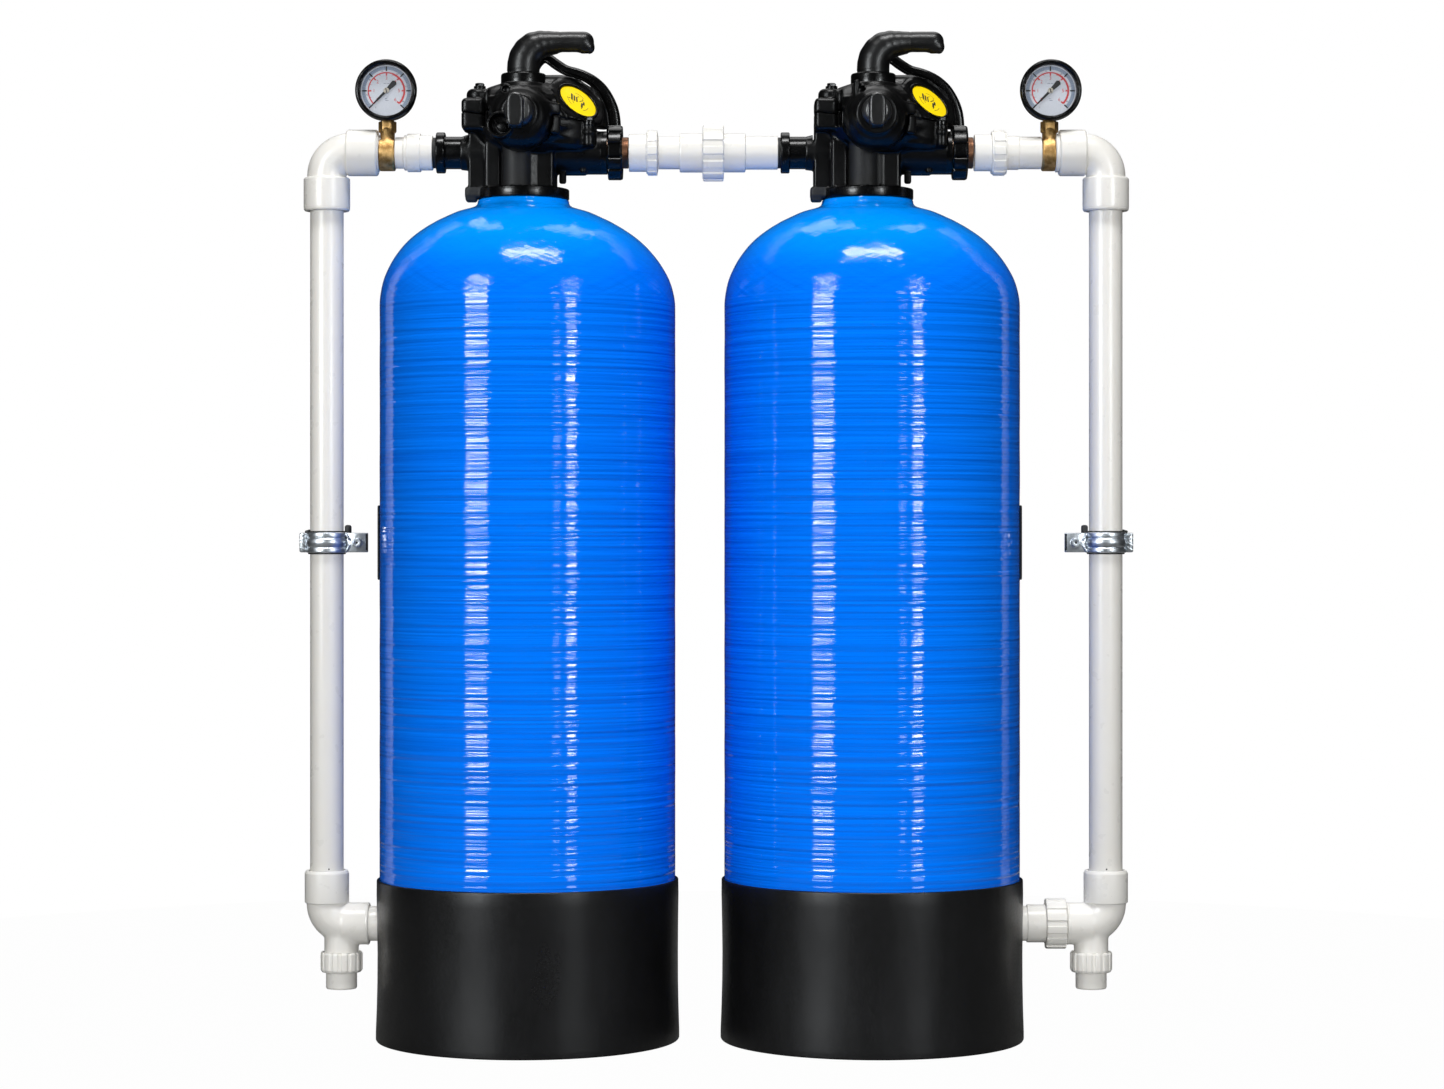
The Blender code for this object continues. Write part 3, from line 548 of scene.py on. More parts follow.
def gelcoat(side):
    """Blue resin over hoop and helical winding."""
    f = Finish(f"gelcoat_{side}", (0.0, 0.16, 0.88), 0.05, IOR=1.50, Specular_IOR_Level=0.32)
    position = f.node("ShaderNodeVectorMath", operation="SUBTRACT")
    f.link(f.coord(), position.inputs[0])
    position.inputs[1].default_value = (TANK_X[side] * MM, 0, 0)
    local = position.outputs[0]
    split = f.node("ShaderNodeSeparateXYZ")
    f.link(local, split.inputs[0])
    height = split.outputs["Z"]
    # Long thin streaks round the straight side.
    ridge = f.noise(1.0, 1.0, 0.4, f.scaled((3.2, 3.2, 240.0), local, (5, 2, 0)))
    hoop = f.noise(1.0, 2.0, 0.5, f.scaled((5.0, 5.0, 330.0), local))
    fine = f.noise(1.0, 2.0, 0.5, f.scaled((9.0, 9.0, 1300.0), local))
    wide = f.noise(1.0, 3.0, 0.5, f.scaled((1.2, 1.2, 46.0), local, (3, 1, 0)))
    # Crossing streaks over the dome.
    crossing = []
    for lean in (1.0, -1.0):
        turn = f.node("ShaderNodeVectorRotate", rotation_type="Z_AXIS")
        f.link(local, turn.inputs["Vector"])
        f.link(f.math("MULTIPLY", height, 16.0 * lean), turn.inputs["Angle"])
        crossing.append(f.noise(1.0, 3.0, 0.6, f.scaled((70.0, 70.0, 9.0), turn.outputs[0])))
    cross = f.math("MULTIPLY", f.math("ADD", crossing[0], crossing[1]), 0.5)
    on_dome = f.ramp(height, 0.758, 0.766)
    straight = f.math("SUBTRACT", 1.0, on_dome)
    streak = f.math("ADD", f.math("MULTIPLY", hoop, straight), f.math("MULTIPLY", cross, on_dome))
    tone = f.mix(f.ramp(streak, 0.36, 0.66), (0.0, 0.141, 0.80), (0.0, 0.178, 0.93))
    tone = f.mix(f.ramp(wide, 0.35, 0.7, 0.0, 0.5), tone, (0.0, 0.190, 0.96))
    tone = f.mix(f.ramp(fine, 0.52, 0.75, 0.0, 0.45), tone, (0.0, 0.098, 0.64))
    # Painted light: the dome is tinted paler towards the neck, standing in for the overhead lamp's light on its upper
    # face.
    tone = f.mix(f.ramp(height, 0.790, 0.835, 0.0, 0.75), tone, (0.0, 0.300, 0.98))
    f.color(tone)
    f.rough(f.ramp(fine, 0.35, 0.7, 0.02, 0.05))
    coarse = f.math("ADD", f.math("MULTIPLY", ridge, straight), f.math("MULTIPLY", cross, f.math("MULTIPLY", on_dome, 0.45)))
    under = f.bump(coarse, 1.0, 0.0020)
    under = f.bump(f.math("ADD", f.math("MULTIPLY", hoop, straight), f.math("MULTIPLY", fine, 0.06)), 0.3, 0.0003, under)
    lumps = f.noise(30.0, 2.0, 0.5, local)
    f.bump(lumps, 0.10, 0.0022, under)
    return f.mat


def black_plastic(name, base=0.004, rough=0.26, grain=0.12, spread=0.10, scale=900.0, **more):
    f = Finish(name, (base, base, base * 1.05), rough, **more)
    cloud = f.noise(60.0, 4.0, 0.6)
    f.color(f.mix(f.ramp(cloud, 0.3, 0.7), (base * 0.75,) * 3, (base * 1.35, base * 1.35, base * 1.45)))
    grainy = f.noise(scale, 2.0, 0.6)
    f.rough(f.math("ADD", f.ramp(cloud, 0.3, 0.7, rough - spread / 2, rough + spread / 2), f.ramp(grainy, 0.4, 0.75, 0.0, 0.10)))
    f.bump(grainy, grain, 0.00025)
    return f.mat


def boot_finish():
    f = Finish("boot_black", (0.003, 0.003, 0.0035), 0.42, IOR=1.5, Specular_IOR_Level=0.34)
    cloud = f.noise(14.0, 4.0, 0.6)
    streak = f.noise(1.0, 3.0, 0.6, f.scaled((22.0, 22.0, 5.0)))
    f.color(f.mix(f.ramp(cloud, 0.3, 0.7), (0.0028, 0.0028, 0.003), (0.0052, 0.0052, 0.0058)))
    f.rough(f.math("ADD", f.ramp(streak, 0.3, 0.7, 0.27, 0.36), f.ramp(f.noise(420.0, 2.0), 0.4, 0.7, 0.0, 0.08)))
    under = f.bump(f.noise(700.0, 2.0), 0.10, 0.0003)
    f.bump(f.noise(1.0, 2.0, 0.5, f.scaled((26.0, 26.0, 7.0))), 0.20, 0.003, under)
    return f.mat


def pvc_finish(name="pvc_white", tint=(0.735, 0.722, 0.685)):
    f = Finish(name, tint, 0.30, IOR=1.5, Subsurface_Weight=0.06, Subsurface_Scale=0.004)
    f.set("Subsurface Radius", (1.0, 0.8, 0.6))
    cloud = f.noise(18.0, 2.0, 0.5)
    f.color(f.mix(f.ramp(cloud, 0.3, 0.7), tuple(t * 0.99 for t in tint), tuple(min(1.0, t * 1.01) for t in tint)))
    f.rough(f.ramp(f.noise(60.0, 2.0), 0.3, 0.7, 0.26, 0.36))
    f.bump(f.noise(160.0, 2.0), 0.04, 0.0003)
    return f.mat


def brass_finish():
    f = Finish("brass", (0.66, 0.44, 0.17), 0.32, 1.0)
    grain = f.noise(900.0, 4.0, 0.7)
    patch = f.noise(150.0, 3.0, 0.6)
    f.color(f.mix(f.ramp(patch, 0.35, 0.68), (0.34, 0.190, 0.062), (0.71, 0.46, 0.19)))
    f.rough(f.ramp(grain, 0.3, 0.7, 0.32, 0.58))
    f.bump(f.math("ADD", grain, f.math("MULTIPLY", patch, 0.8)), 0.45, 0.0006)
    return f.mat


def metal_finish(name, base, rough, spread=0.1, bump=0.1, scale=300.0):
    f = Finish(name, base, rough, 1.0)
    cloud = f.noise(scale, 3.0, 0.6)
    f.color(f.mix(f.ramp(cloud, 0.3, 0.7), tuple(b * 0.82 for b in base), tuple(min(1.0, b * 1.08) for b in base)))
    f.rough(f.ramp(cloud, 0.3, 0.7, max(0.05, rough - spread / 2), rough + spread / 2))
    f.bump(cloud, bump, 0.0003)
    return f.mat


def plain_finish(name, base, rough, vary=0.08, scale=400.0, bump=0.04, **more):
    f = Finish(name, base, rough, **more)
    cloud = f.noise(scale, 3.0, 0.6)
    f.color(f.mix(f.ramp(cloud, 0.3, 0.7), tuple(b * (1 - vary) for b in base), tuple(min(1.0, b * (1 + vary)) for b in base)))
    f.rough(f.ramp(cloud, 0.3, 0.7, max(0.03, rough - 0.05), rough + 0.05))
    f.bump(cloud, bump, 0.0003)
    return f.mat


def glass_finish():
    f = Finish("gauge_glass", (0.06, 0.065, 0.07), 0.03, IOR=1.45, Alpha=0.08)
    f.rough(f.ramp(f.noise(90.0, 3.0), 0.3, 0.7, 0.02, 0.05))
    return f.mat


MAT = {
    "tank_L": gelcoat("L"),
    "tank_R": gelcoat("R"),
    "boot": boot_finish(),
    "valve": black_plastic("valve_black", 0.0015, 0.20, 0.06, Specular_IOR_Level=0.25),
    "valve_dull": black_plastic("valve_black_satin", 0.0015, 0.30, 0.08, 0.08, 650.0, Specular_IOR_Level=0.21),
    "valve_rough": black_plastic("valve_black_grained", 0.0050, 0.58, 0.60, 0.08, 700.0, Specular_IOR_Level=0.42),
    "lever": black_plastic("lever_black", 0.0024, 0.33, 0.03, 0.04, Specular_IOR_Level=0.42),
    "knob": black_plastic("knob_black", 0.0040, 0.36, 0.03, 0.04, Specular_IOR_Level=0.85),
    "pvc": pvc_finish(),
    "brass": brass_finish(),
    "copper": metal_finish("copper_thread", (0.50, 0.34, 0.25), 0.38, 0.14, 0.3, 500.0),
    "zinc": metal_finish("zinc", (0.66, 0.70, 0.74), 0.36, 0.10, 0.06, 240.0),
    "steel": metal_finish("steel_bright", (0.62, 0.62, 0.62), 0.22),
    "gauge": black_plastic("gauge_black", 0.0020, 0.16, 0.03, 0.06, 700.0, Specular_IOR_Level=0.28),
    "dial": plain_finish("dial_white", (0.68, 0.72, 0.80), 0.35, 0.03),
    "dial_band": plain_finish("dial_band_blue_grey", (0.30, 0.37, 0.49), 0.35, 0.10),
    "hub": plain_finish("dial_hub", (0.58, 0.54, 0.46), 0.3, 0.1, 800.0, 0.1, Metallic=0.35),
    "ink": plain_finish("dial_ink_black", (0.012, 0.012, 0.014), 0.4, 0.2),
    "ink_red": plain_finish("dial_ink_red", (0.62, 0.045, 0.05), 0.4, 0.1),
    "ink_grey": plain_finish("dial_ink_grey", (0.20, 0.24, 0.33), 0.4, 0.1),
    "glass": glass_finish(),
    "yellow": plain_finish("label_yellow", (1.0, 0.71, 0.0), 0.34, 0.03, 220.0),
    "print": plain_finish("label_print", (0.02, 0.02, 0.015), 0.45, 0.15),
    "rubber": plain_finish("rubber_black", (0.010, 0.010, 0.010), 0.6, 0.2, 500.0, 0.3),
    "inner": plain_finish("inner_plastic", (0.78, 0.78, 0.74), 0.4, 0.04),
    # painted shade: a near-black finish laid on rings, slots and sockets where recesses fall into shade
    "shade": plain_finish("recess_dark", (0.004, 0.004, 0.004), 0.6, 0.2),
}


# ============================================================================
# Pieces
# ============================================================================
def piece(name, shells, body=ROOT, replaces=(), angle=32.0):
    """One visible piece from (shell, finish) pairs."""
    verts, faces, index, finishes = [], [], [], []
    base = 0
    for shell, finish in shells:
        chosen = plain = None
        if isinstance(finish, tuple):
            plain, finish, chosen = finish
            if plain not in finishes:
                finishes.append(plain)
        if finish not in finishes:
            finishes.append(finish)
        v, f = shell
        verts.append(v)
        faces += [tuple(i + base for i in face) for face in f]
        if chosen is None:
            index += [finishes.index(finish)] * len(f)
        else:
            middle = np.array([v[list(face)].mean(0) for face in f])
            index += np.where(chosen(middle), finishes.index(finish), finishes.index(plain)).tolist()
        base += len(v)
    mesh = bpy.data.meshes.new(name)
    mesh.from_pydata((np.concatenate(verts) * MM).tolist(), [], faces)
    mesh.validate()
    for finish in finishes:
        mesh.materials.append(MAT[finish])
    if len(finishes) > 1 and len(mesh.polygons) == len(index):
        mesh.polygons.foreach_set("material_index", np.array(index, np.int32))
    mesh.shade_smooth()
    mesh.set_sharp_from_angle(angle=math.radians(angle))
    obj = bpy.data.objects.new(name, mesh)
    bpy.context.scene.collection.objects.link(obj)
    bpy.context.view_layer.update()
    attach(obj, body)
    if replaces:
        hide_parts(*replaces)
    return obj


def lettering(text, size, at, turn, depth=0.06):
    """Small figures as a thin solid shell, centred on a point of a face."""
    curve = bpy.data.curves.new("figure", "FONT")
    curve.body = text
    curve.size = size
    curve.align_x = "CENTER"
    curve.align_y = "CENTER"
    curve.extrude = depth
    curve.resolution_u = 3
    obj = bpy.data.objects.new("figure", curve)
    bpy.context.scene.collection.objects.link(obj)
    bpy.context.view_layer.update()
    mesh = bpy.data.meshes.new_from_object(obj.evaluated_get(bpy.context.evaluated_depsgraph_get()))
    verts = np.array([v.co[:] for v in mesh.vertices], float).reshape(-1, 3)
    faces = [tuple(p.vertices) for p in mesh.polygons]
    bpy.data.objects.remove(obj)
    bpy.data.curves.remove(curve)
    bpy.data.meshes.remove(mesh)
    verts = verts @ np.array(turn.to_3x3()).T + np.array(at, float)
    return verts, faces


# ---- tanks and boots ---------------------------------------------------------
def tank_skin(side):
    knots = [
        (33.0, 858.0), (33.0, 869.2), (46.2, 869.2), (47.2, 868.2), (47.5, 865.8), (48.6, 863.6), (51.4, 861.6),
        (57.5, 859.5), (68.5, 856.4), (76.5, 853.1), (83.7, 849.7), (90.2, 846.6), (96.2, 843.2), (101.3, 840.2),
        (106.1, 837.0), (110.5, 834.0), (114.5, 831.0), (119.7, 826.7), (126.5, 820.0), (133.0, 812.2),
        (138.5, 804.6), (143.2, 796.6), (147.0, 788.6), (149.8, 780.5), (151.8, 771.5), (152.9, 762.5), (TANK_R, 752.0),
    ]
    dome = smooth_path([(r, h, 0) for r, h in knots[6:]], 3)[:, :2].tolist()
    profile = knots[:6] + dome
    for z in np.arange(748.0, 94.0, -8.0):
        profile.append((TANK_R, float(z)))
    for degrees in range(0, 85, 8):
        a = math.radians(degrees)
        profile.append((TANK_R * math.cos(a), 92.0 - 80.0 * math.sin(a)))
    profile += [(14.0, 12.0), (0.0, 12.0)]
    start = [(0.0, 858.0)]
    waves = [(0.034, 1.3, 0.10), (0.083, 4.1, 0.07), (0.021, 0.4, 0.10)]

    def shape(radius, height, angle):
        ripple = sum(a * np.sin(height * f * math.tau / 2 + p + 0.6 * np.sin(angle * 2 + p)) for f, p, a in waves)
        lump = 0.16 * np.sin(angle * 3 + height * 0.05) * np.sin(height * 0.031 + angle * 2)
        on = ((radius > 60) & (height > 20)).astype(float)
        return np.minimum(radius + on * (ripple + lump) * 0.6 - on * 0.1, radius.max())

    verts, faces = lathe(start + profile, 168, (0, 0, 0), "Z", False, shape)
    rise = np.clip((verts[:, 2] - 757.0) / 106.0, 0, 1)
    verts[:, 0] += -4.5 * rise * rise * (3 - 2 * rise)
    verts[:, 0] += TANK_X[side]
    piece(f"tank_skin_{side}", [((verts, faces), f"tank_{side}")], replaces=(f"tank_{side}",), angle=40)


def boot_skin(side):
    x = TANK_X[side]
    outer = soft([(154.9, 166.0), (156.3, 165.2, 1.2), (156.5, 150.0, 0), (156.1, 120, 0), (155.9, 90, 0), (156.0, 60, 0), (156.5, 34, 0), (157.3, 8.0, 2),
                  (157.3, 1.2, 1.0), (156.6, 0.0, 0.8), (145.0, 0.0, 0.6), (145.0, 4.5, 0.6), (153.0, 13.0, 2), (153.6, 163.0, 0), (153.9, 166.0, 0.6)], 0.8, True, 3)

    def shape(radius, height, angle):
        wave = 0.22 * np.sin(angle * 5 + 1.2 + height * 0.006) + 0.16 * np.sin(angle * 11 + height * 0.012)
        return radius + (radius > 150) * (wave - 0.38) * np.clip(1 - np.abs(height - 85) / 120, 0, 1)

    shell = lathe(outer, 224, (x, 0, 0), "Z", True, shape)
    liner = ringed([(153.75, 160.0), (153.75, 120.0), (153.25, 120.0), (153.25, 160.0)], 128, (x, 0, 0), f=0)
    piece(f"boot_skin_{side}", [(shell, "boot")], replaces=(f"boot_{side}",))


# ---- valve ----------------------------------------------------------------------
RIM_N = (math.sin(math.radians(7)), 0.0, math.cos(math.radians(7)))
RIM_TURN = Matrix.Rotation(math.radians(7), 3, "Y")
DIAL_N = Vector((0.55, -0.56, 0.62)).normalized()
DIAL_C = np.array((57.6, -14.6, 970.6))
DIAL_TURN = DIAL_N.to_track_quat("Z", "Y").to_matrix()


def rim_point(h, x, y, z):
    local = Vector((x, y, z))
    world = RIM_TURN @ local
    return (h + 10 + world.x, world.y, 954.0 + world.z)


def valve_body(side):
    v, h = VALVE_X[side], HEAD_X[side]
    step = 1.5
    cast = Cast((v - 66, -66, 864), (v + 86, 72, 972), step)
    cast.add(c_cyl((v, 0, 870.0), (0, 0, 1), 47.4, 10.6, 2.2), 0)
    cast.add(c_cyl((v - 1, 5, 876), (0, 0, 1), 36.0, 74, 1.0), 1.2)
    # Three bolt and flow columns, with a plain wall between them.
    cast.add(c_box((v - 47.2, -3, 912), (18.4, 30.0, 72), r=2.2), 0.4)
    cast.add(c_box((v - 30.2, -6, 912), (15.4, 46.0, 72), r=1.8), 0.4)
    cast.add(c_box((v + 21.0, -8, 905), (23.0, 38.0, 60), r=2.2), 0.4)
    cast.add(c_cyl((v - 5.2, -22.5, 877), (0, 0, 1), 15.6, 60, 1.0), 0.6)
    cast.add(c_box((v - 26, 6, 910), (58, 36, 70), r=2.0), 1.2)
    cast.add(c_cyl((v - 30, 26, 877), (0, 0, 1), 15.0, 70, 1.0), 2.0)
    cast.add(c_cyl((v + 14, 34, 877), (0, 0, 1), 12.0, 70, 1.0), 2.0)
    cast.add(c_turned((v, 0, PORT_Z), (1, 0, 0), [(0, -66), (17.6, -66), (18.6, -57), (20.4, -20), (0, -20)]), 1.6)
    cast.add(c_cyl((v, 0, PORT_Z), (1, 0, 0), 22.4, 84.0, 0.5), 2.6)
    # Clamped rim, its bolt ears and the lower shell that carries it.
    cast.add(c_cyl(rim_point(h, 0, 0, -19.5), RIM_N, 67.0, 19.3, 2.6), 1.6)
    cast.cut(c_box((h + 65.2, -47.9, 952.0), (50, 30, 130), Matrix.Rotation(math.radians(28.6), 3, "Z"), 3.0), 3.0)
    cast.cut(c_box((h - 82.4, 0, 966.0), (41.0, 110, 72), r=2.0), 2.0)
    cast.cut(c_box((h - 58.5, -58.0, 966.0), (49.0, 62, 72), r=2.0), 1.6)
    cast.add(c_turned((h + 40, -9, 0), (0, 0, 1), [(0, 919.5), (26, 919.5), (31, 924), (32.5, 936), (32.5, 952), (28, 966), (16, 976), (0, 979)]), 4.0)
    cast.add(c_box((h - 50.2, -20.5, 950.0), (23.6, 35.0, 24.0), r=5.0), 1.2)
    for ang in (38, 80, 122, 160):
        a = math.radians(ang)
        cast.add(c_cyl(rim_point(h, 61.5 * math.cos(a), 61.5 * math.sin(a), -17.5), RIM_N, 8.8, 17.2, 1.2), 1.4)
    cast.add(c_turned((h + 6, 0, 0), (0, 0, 1), [(0, 915), (34, 917), (50, 928), (60, 941), (0, 944)]), 3.0)
    cast.add(c_cyl((h + 69.0, -31, 922.0), (0, 0, 1), 5.8, 24, 1.2), 1.0)
    cast.add(c_cyl((h + 69.0, -31, 934.0), (0, 0, 1), 6.8, 4.0, 1.0), 0.5)
    cast.add(c_box((h + 62.0, -22, 933.0), (26, 20, 24), r=4.0), 2.0)
    # Ribs and a cast peg under the outlet.
    cast.add(c_box((v + 41.2, -9, 892.2), (7.4, 6.4, 13.6), r=1.8), 0.8)
    cast.add(c_cyl((v + 63.0, -12, 896.2), (0, 0, 1), 3.4, 6.0, 1.4), 0.8)
    cast.add(c_box((v + 52, 0, 896.8), (26, 2.6, 5), r=0.8), 1.2)
    # Flange lug at the lower left.
    cast.add(c_box((v - 51.0, -8, 876.4), (17.6, 20.0, 11.2), r=2.6), 1.2)
    cast.add(c_box((v - 53.4, -8, 871.0), (11.8, 17.0, 8.4), r=2.2), 1.2)
    # A clearing before the label pod, the split plane, and the front barrel's seat.
    centre = DIAL_C + np.array((h, 0, 0))
    cast.cut(c_cyl(centre - np.array(DIAL_N) * 0.2, DIAL_N, 29.5, 34.0, 2.0), 1.2)
    n, c = RIM_N, rim_point(h, 0, 0, -0.2)
    cast.keep(lambda x, y, z: (x - c[0]) * n[0] + (y - c[1]) * n[1] + (z - c[2]) * n[2] + np.where(x < h - 38.0, 6.0, 0.0))
    cast.cut(c_cyl((h, -41.4, 948.0), (0, -1, 0), 33.9, 60, 0.2), 0.3)

    def grained(m):
        x, y, z = m[:, 0] - v, m[:, 1], m[:, 2]
        column = (np.abs(x + 5.2) < 15.0) & (y < -20) & (z > 882) & (z < 931)
        return column | ((x < -42) & (z < 881.5) & (y < 4))
    shells = [(cast.skin(), ("valve_dull", "valve_rough", grained))]
    # Crisp turned details.
    shells.append((solid([(0, 84.4), (16.8, 84.4), (16.8, 64), (18.6, 57), (0, 57)][::-1], 64, (v, 0, PORT_Z), "-X", 0.5), "valve"))
    shells.append((ringed([(21.2, 81.0), (21.2, 90.2), (12.6, 90.2), (12.6, 81.0)], 64, (v, 0, PORT_Z), "-X", 1.4), "valve"))
    shells.append((ringed([(22.4, 80.0), (22.4, 87.2), (17.3, 87.2), (17.3, 80.0)], 64, (v, 0, PORT_Z), "X", 0.6), "valve"))
    shells.append((ringed([(47.5, 869.7), (47.5, 880.3), (44.0, 880.3), (44.0, 869.7)], 96, (v, 0, 0), "Z", 1.4), "valve"))
    shells.append((ringed([(31.6, 846.0), (31.6, 872.0), (24.0, 872.0), (24.0, 846.0)], 64, (v, 0, 0), "Z", 0.8), "valve"))
    piece(f"valve_lower_{side}", shells, replaces=(f"valve_body_{side}",), angle=38)


def valve_head(side):
    h = HEAD_X[side]
    step = 1.45
    cast = Cast((h - 66, -86, 908), (h + 96, 72, 1004), step)
    cast.add(c_cyl(rim_point(h, 0, 0, 0.4), RIM_N, 66.8, 12.2, 2.6), 0)
    cast.add(c_turned((h, 0, 0), (0, 0, 1), [(0, 960), (57, 960), (57, 968), (53.4, 974), (46.6, 979.5), (37, 985), (27, 988.6), (21, 990), (0, 990)]), 2.2)
    cast.cut(c_box((h + 65.2, -47.9, 952.0), (50, 30, 130), Matrix.Rotation(math.radians(28.6), 3, "Z"), 3.0), 3.0)
    cast.cut(c_box((h - 82.4, 0, 966.0), (41.0, 110, 72), r=2.0), 2.0)
    cast.cut(c_box((h - 58.5, -58.0, 966.0), (49.0, 62, 72), r=2.0), 1.6)
    cast.add(c_turned((h + 40, -9, 0), (0, 0, 1), [(0, 919.5), (26, 919.5), (31, 924), (32.5, 936), (32.5, 952), (28, 966), (16, 976), (0, 979)]), 5.0)
    # Bolt ear, its hood and the bolt's pad.
    cast.add(c_box((h - 50.2, -20.5, 960.0), (23.6, 35.0, 23.0), r=5.0), 1.2)
    cast.add(c_cyl((h - 45.6, -17.5, 962), (0, 0, 1), 12.2, 20.4, 6.0), 1.6)
    cast.add(c_cyl((h - 33.5, -21.0, 962), (0, 0, 1), 7.5, 16.5, 4.0), 2.0)
    for ang in (38, 80, 122, 160):
        a = math.radians(ang)
        cast.add(c_cyl(rim_point(h, 61.5 * math.cos(a), 61.5 * math.sin(a), 0.4), RIM_N, 8.8, 12.6, 1.4), 1.4)
    # Front barrel: a plain round nose.
    nose = [(0, 8), (33.3, 8), (33.3, 44), (33.0, 54), (31.8, 61), (29.0, 67.4), (24.6, 72.0), (19.0, 75.0), (12, 76.6), (0, 77)]
    cast.add(c_turned((h, 0, 948), (0, -1, 0), nose), 5.0)
    cast.add(c_cyl((h, -22, 955), (0, 0, 1), 21.5, 33, 3.0), 4.0)
    cast.add(c_box((h, -34, 966), (44, 36, 26), r=7.0), 5.0)
    # Label pod, turned about the label's own normal, with a shoulder behind it.
    centre = DIAL_C + np.array((h, 0, 0))
    normal = np.array(DIAL_N)
    cast.add(c_cyl(centre - normal * 17.0, DIAL_N, 32.6, 17.0, 3.0), 1.2)
    cast.add(c_cyl(centre - normal * 32.0, DIAL_N, 25.0, 24.0, 4.0), 4.0)
    cast.add(c_chain([(h + 12, 8, 986.0, 14.4), (h + 38, 8, 986.2, 14.4), (h + 53, 10, 982.6, 14.2), (h + 65, 13, 975.6, 13.6),
                      (h + 72.6, 16, 965.0, 12.6), (h + 75.6, 18, 950.0, 11.6)]), 3.0)
    # Crease between the barrel and the flank.
    cast.add(c_chain([(h + 34.6, -45.5, 965.5, 2.6), (h + 38.6, -45.0, 961.8, 1.8), (h + 45.2, -42.0, 953.5, 1.5), (h + 49.4, -40.0, 944.0, 1.4), (h + 54.6, -38.0, 931.0, 1.2)]), 1.0)
    if side == "L":
        # Two-lobed boss: the knob's seat and an open socket at its lower left.
        cast.add(c_cyl((h + 0.0, -60, 951.5), (0, -1, 0), 19.4, 16.8, 2.4), 1.2)
        cast.add(c_chain([(h - 1.0, -71.4, 951, 6.4), (h - 19.0, -70.6, 938.8, 6.4)]), 3.0)
        cast.add(c_cyl((h - 19.4, -50, 938.6), (0, -1, 0), 13.8, 29.6, 2.4), 1.2)
        cast.cut(c_turned((h - 19.4, -69, 938.6), (0, -1, 0), [(0, 0), (8.8, 0), (10.6, 6), (11.4, 12), (0, 12)]), 0.8)
        cast.add(c_cyl((h - 17.0, -60, 936.6), (0, -1, 0), 4.6, 14.0, 1.4), 0.8)
        cast.add(c_box((h - 23.6, -70, 940.6), (2.0, 7.0, 9.0), Matrix.Rotation(math.radians(-24), 3, "Y"), 0.6), 0.6)
    else:
        cast.add(c_turned((h, 0, 950.0), (0, -1, 0), [(0, 60), (30.5, 60), (22.5, 73), (21.6, 78.0), (20.0, 79.4), (0, 79.4)]), 1.6)
        cast.add(c_box((h - 19.5, -44, 968), (6.0, 46, 36), r=2.4), 1.6)
        cast.add(c_box((h + 62.0, -31.0, 944.5), (11.0, 14.0, 14.0), Matrix.Rotation(math.radians(20), 3, "Y"), 1.8), 1.0)
        cast.cut(c_box((h + 62.0, -38.6, 943.5), (4.4, 6.0, 4.4), Matrix.Rotation(math.radians(20), 3, "Y"), 0.4), 0.3)
    # Small clip and hole under the collar.
    cast.add(c_box((h - 1.0, -58, 975.6), (3.6, 10.0, 10.0), r=1.4), 0.8)
    cast.add(c_box((h + 7.5, -58, 975.0), (3.0, 10.0, 9.0), r=1.2), 0.8)
    cast.add(c_cyl((h - 14.5, -46, 976.4), (0, -1, 0), 6.6, 14.0, 1.6), 1.4)
    cast.cut(c_cyl((h - 14.5, -56, 976.4), (0, -1, 0), 3.4, 14.0, 0.4), 0.6)
    # Ribs over the dome's back.
    for ang in (38, 80, 122, 160):
        a = math.radians(ang)
        tip = (h + 54 * math.cos(a), 54 * math.sin(a), 969)
        root = (h + 25 * math.cos(a), 25 * math.sin(a), 986)
        cast.add(c_chain([(*root, 2.6), (*tip, 2.6)]), 2.2)
    n, c = RIM_N, rim_point(h, 0, 0, 0.5)
    # Keep what stands above the split, and the barrel in front of it.
    part, (x, y, z) = cast.block(cast.low, cast.low + cast.step * cast.count)
    below = -((x - c[0]) * n[0] + (y - c[1]) * n[1] + (z - c[2]) * n[2] + np.where(x < h - 38.4, 6.0, 0.0))
    gate = np.minimum(below, (y + 41.0) + 0 * x + 0 * z).astype(np.float32)
    cast.field = np.maximum(cast.field, gate)
    # Nothing stands in front of the pod's face, and the label has a shallow seat.
    cast.cut(c_cyl(centre - normal * 0.2, DIAL_N, 34.0, 30.0, 2.0), 1.2)
    seat = centre
    cast.cut(c_cyl(seat - normal * 1.5, DIAL_N, 23.6, 6.0, 0.2), 0.3)
    shells = [(cast.skin(), "valve_dull")]
    shells.append((solid([(0, 1000.4), (23.4, 1000.4, 2.6), (23.4, 985, 0.5), (0, 985)][::-1], 96, (h, 0, 0), "Z", 1.0), "valve"))
    # A near-black ring on the collar's top: painted shade of its groove.
    shells.append((ringed([(19.0, 1000.6), (19.0, 999.0), (17.2, 999.0), (17.2, 1000.6)], 72, (h, 0, 0), "Z", 0.2), "shade"))
    # Bolt heads: the tall one on the ear, the short one on the right boss, four behind.
    for x0, y0, top in ((h - 44.0, -19.0, 988.2), (h + 69.0, -31.0, 951.6)):
        hexed = plate(circle(4.9, 6, a0=0.3, a1=0.3 + math.tau), top - 7.0, top, at=(x0, y0, 0), f=0.7)
        shells.append((hexed, "valve"))
        shells.append((solid([(0, top - 3.0), (6.2, top - 3.0), (6.2, top - 9.0), (0, top - 9.0)][::-1], 40, (x0, y0, 0), "Z", 0.7), "valve"))
    for ang in (38, 80, 122, 160):
        a = math.radians(ang)
        p = rim_point(h, 61.5 * math.cos(a), 61.5 * math.sin(a), 12.6)
        shells.append((plate(circle(5.2, 6, a0=0.3, a1=0.3 + math.tau), 0.0, 4.2, RIM_TURN, p, f=0.6), "steel"))
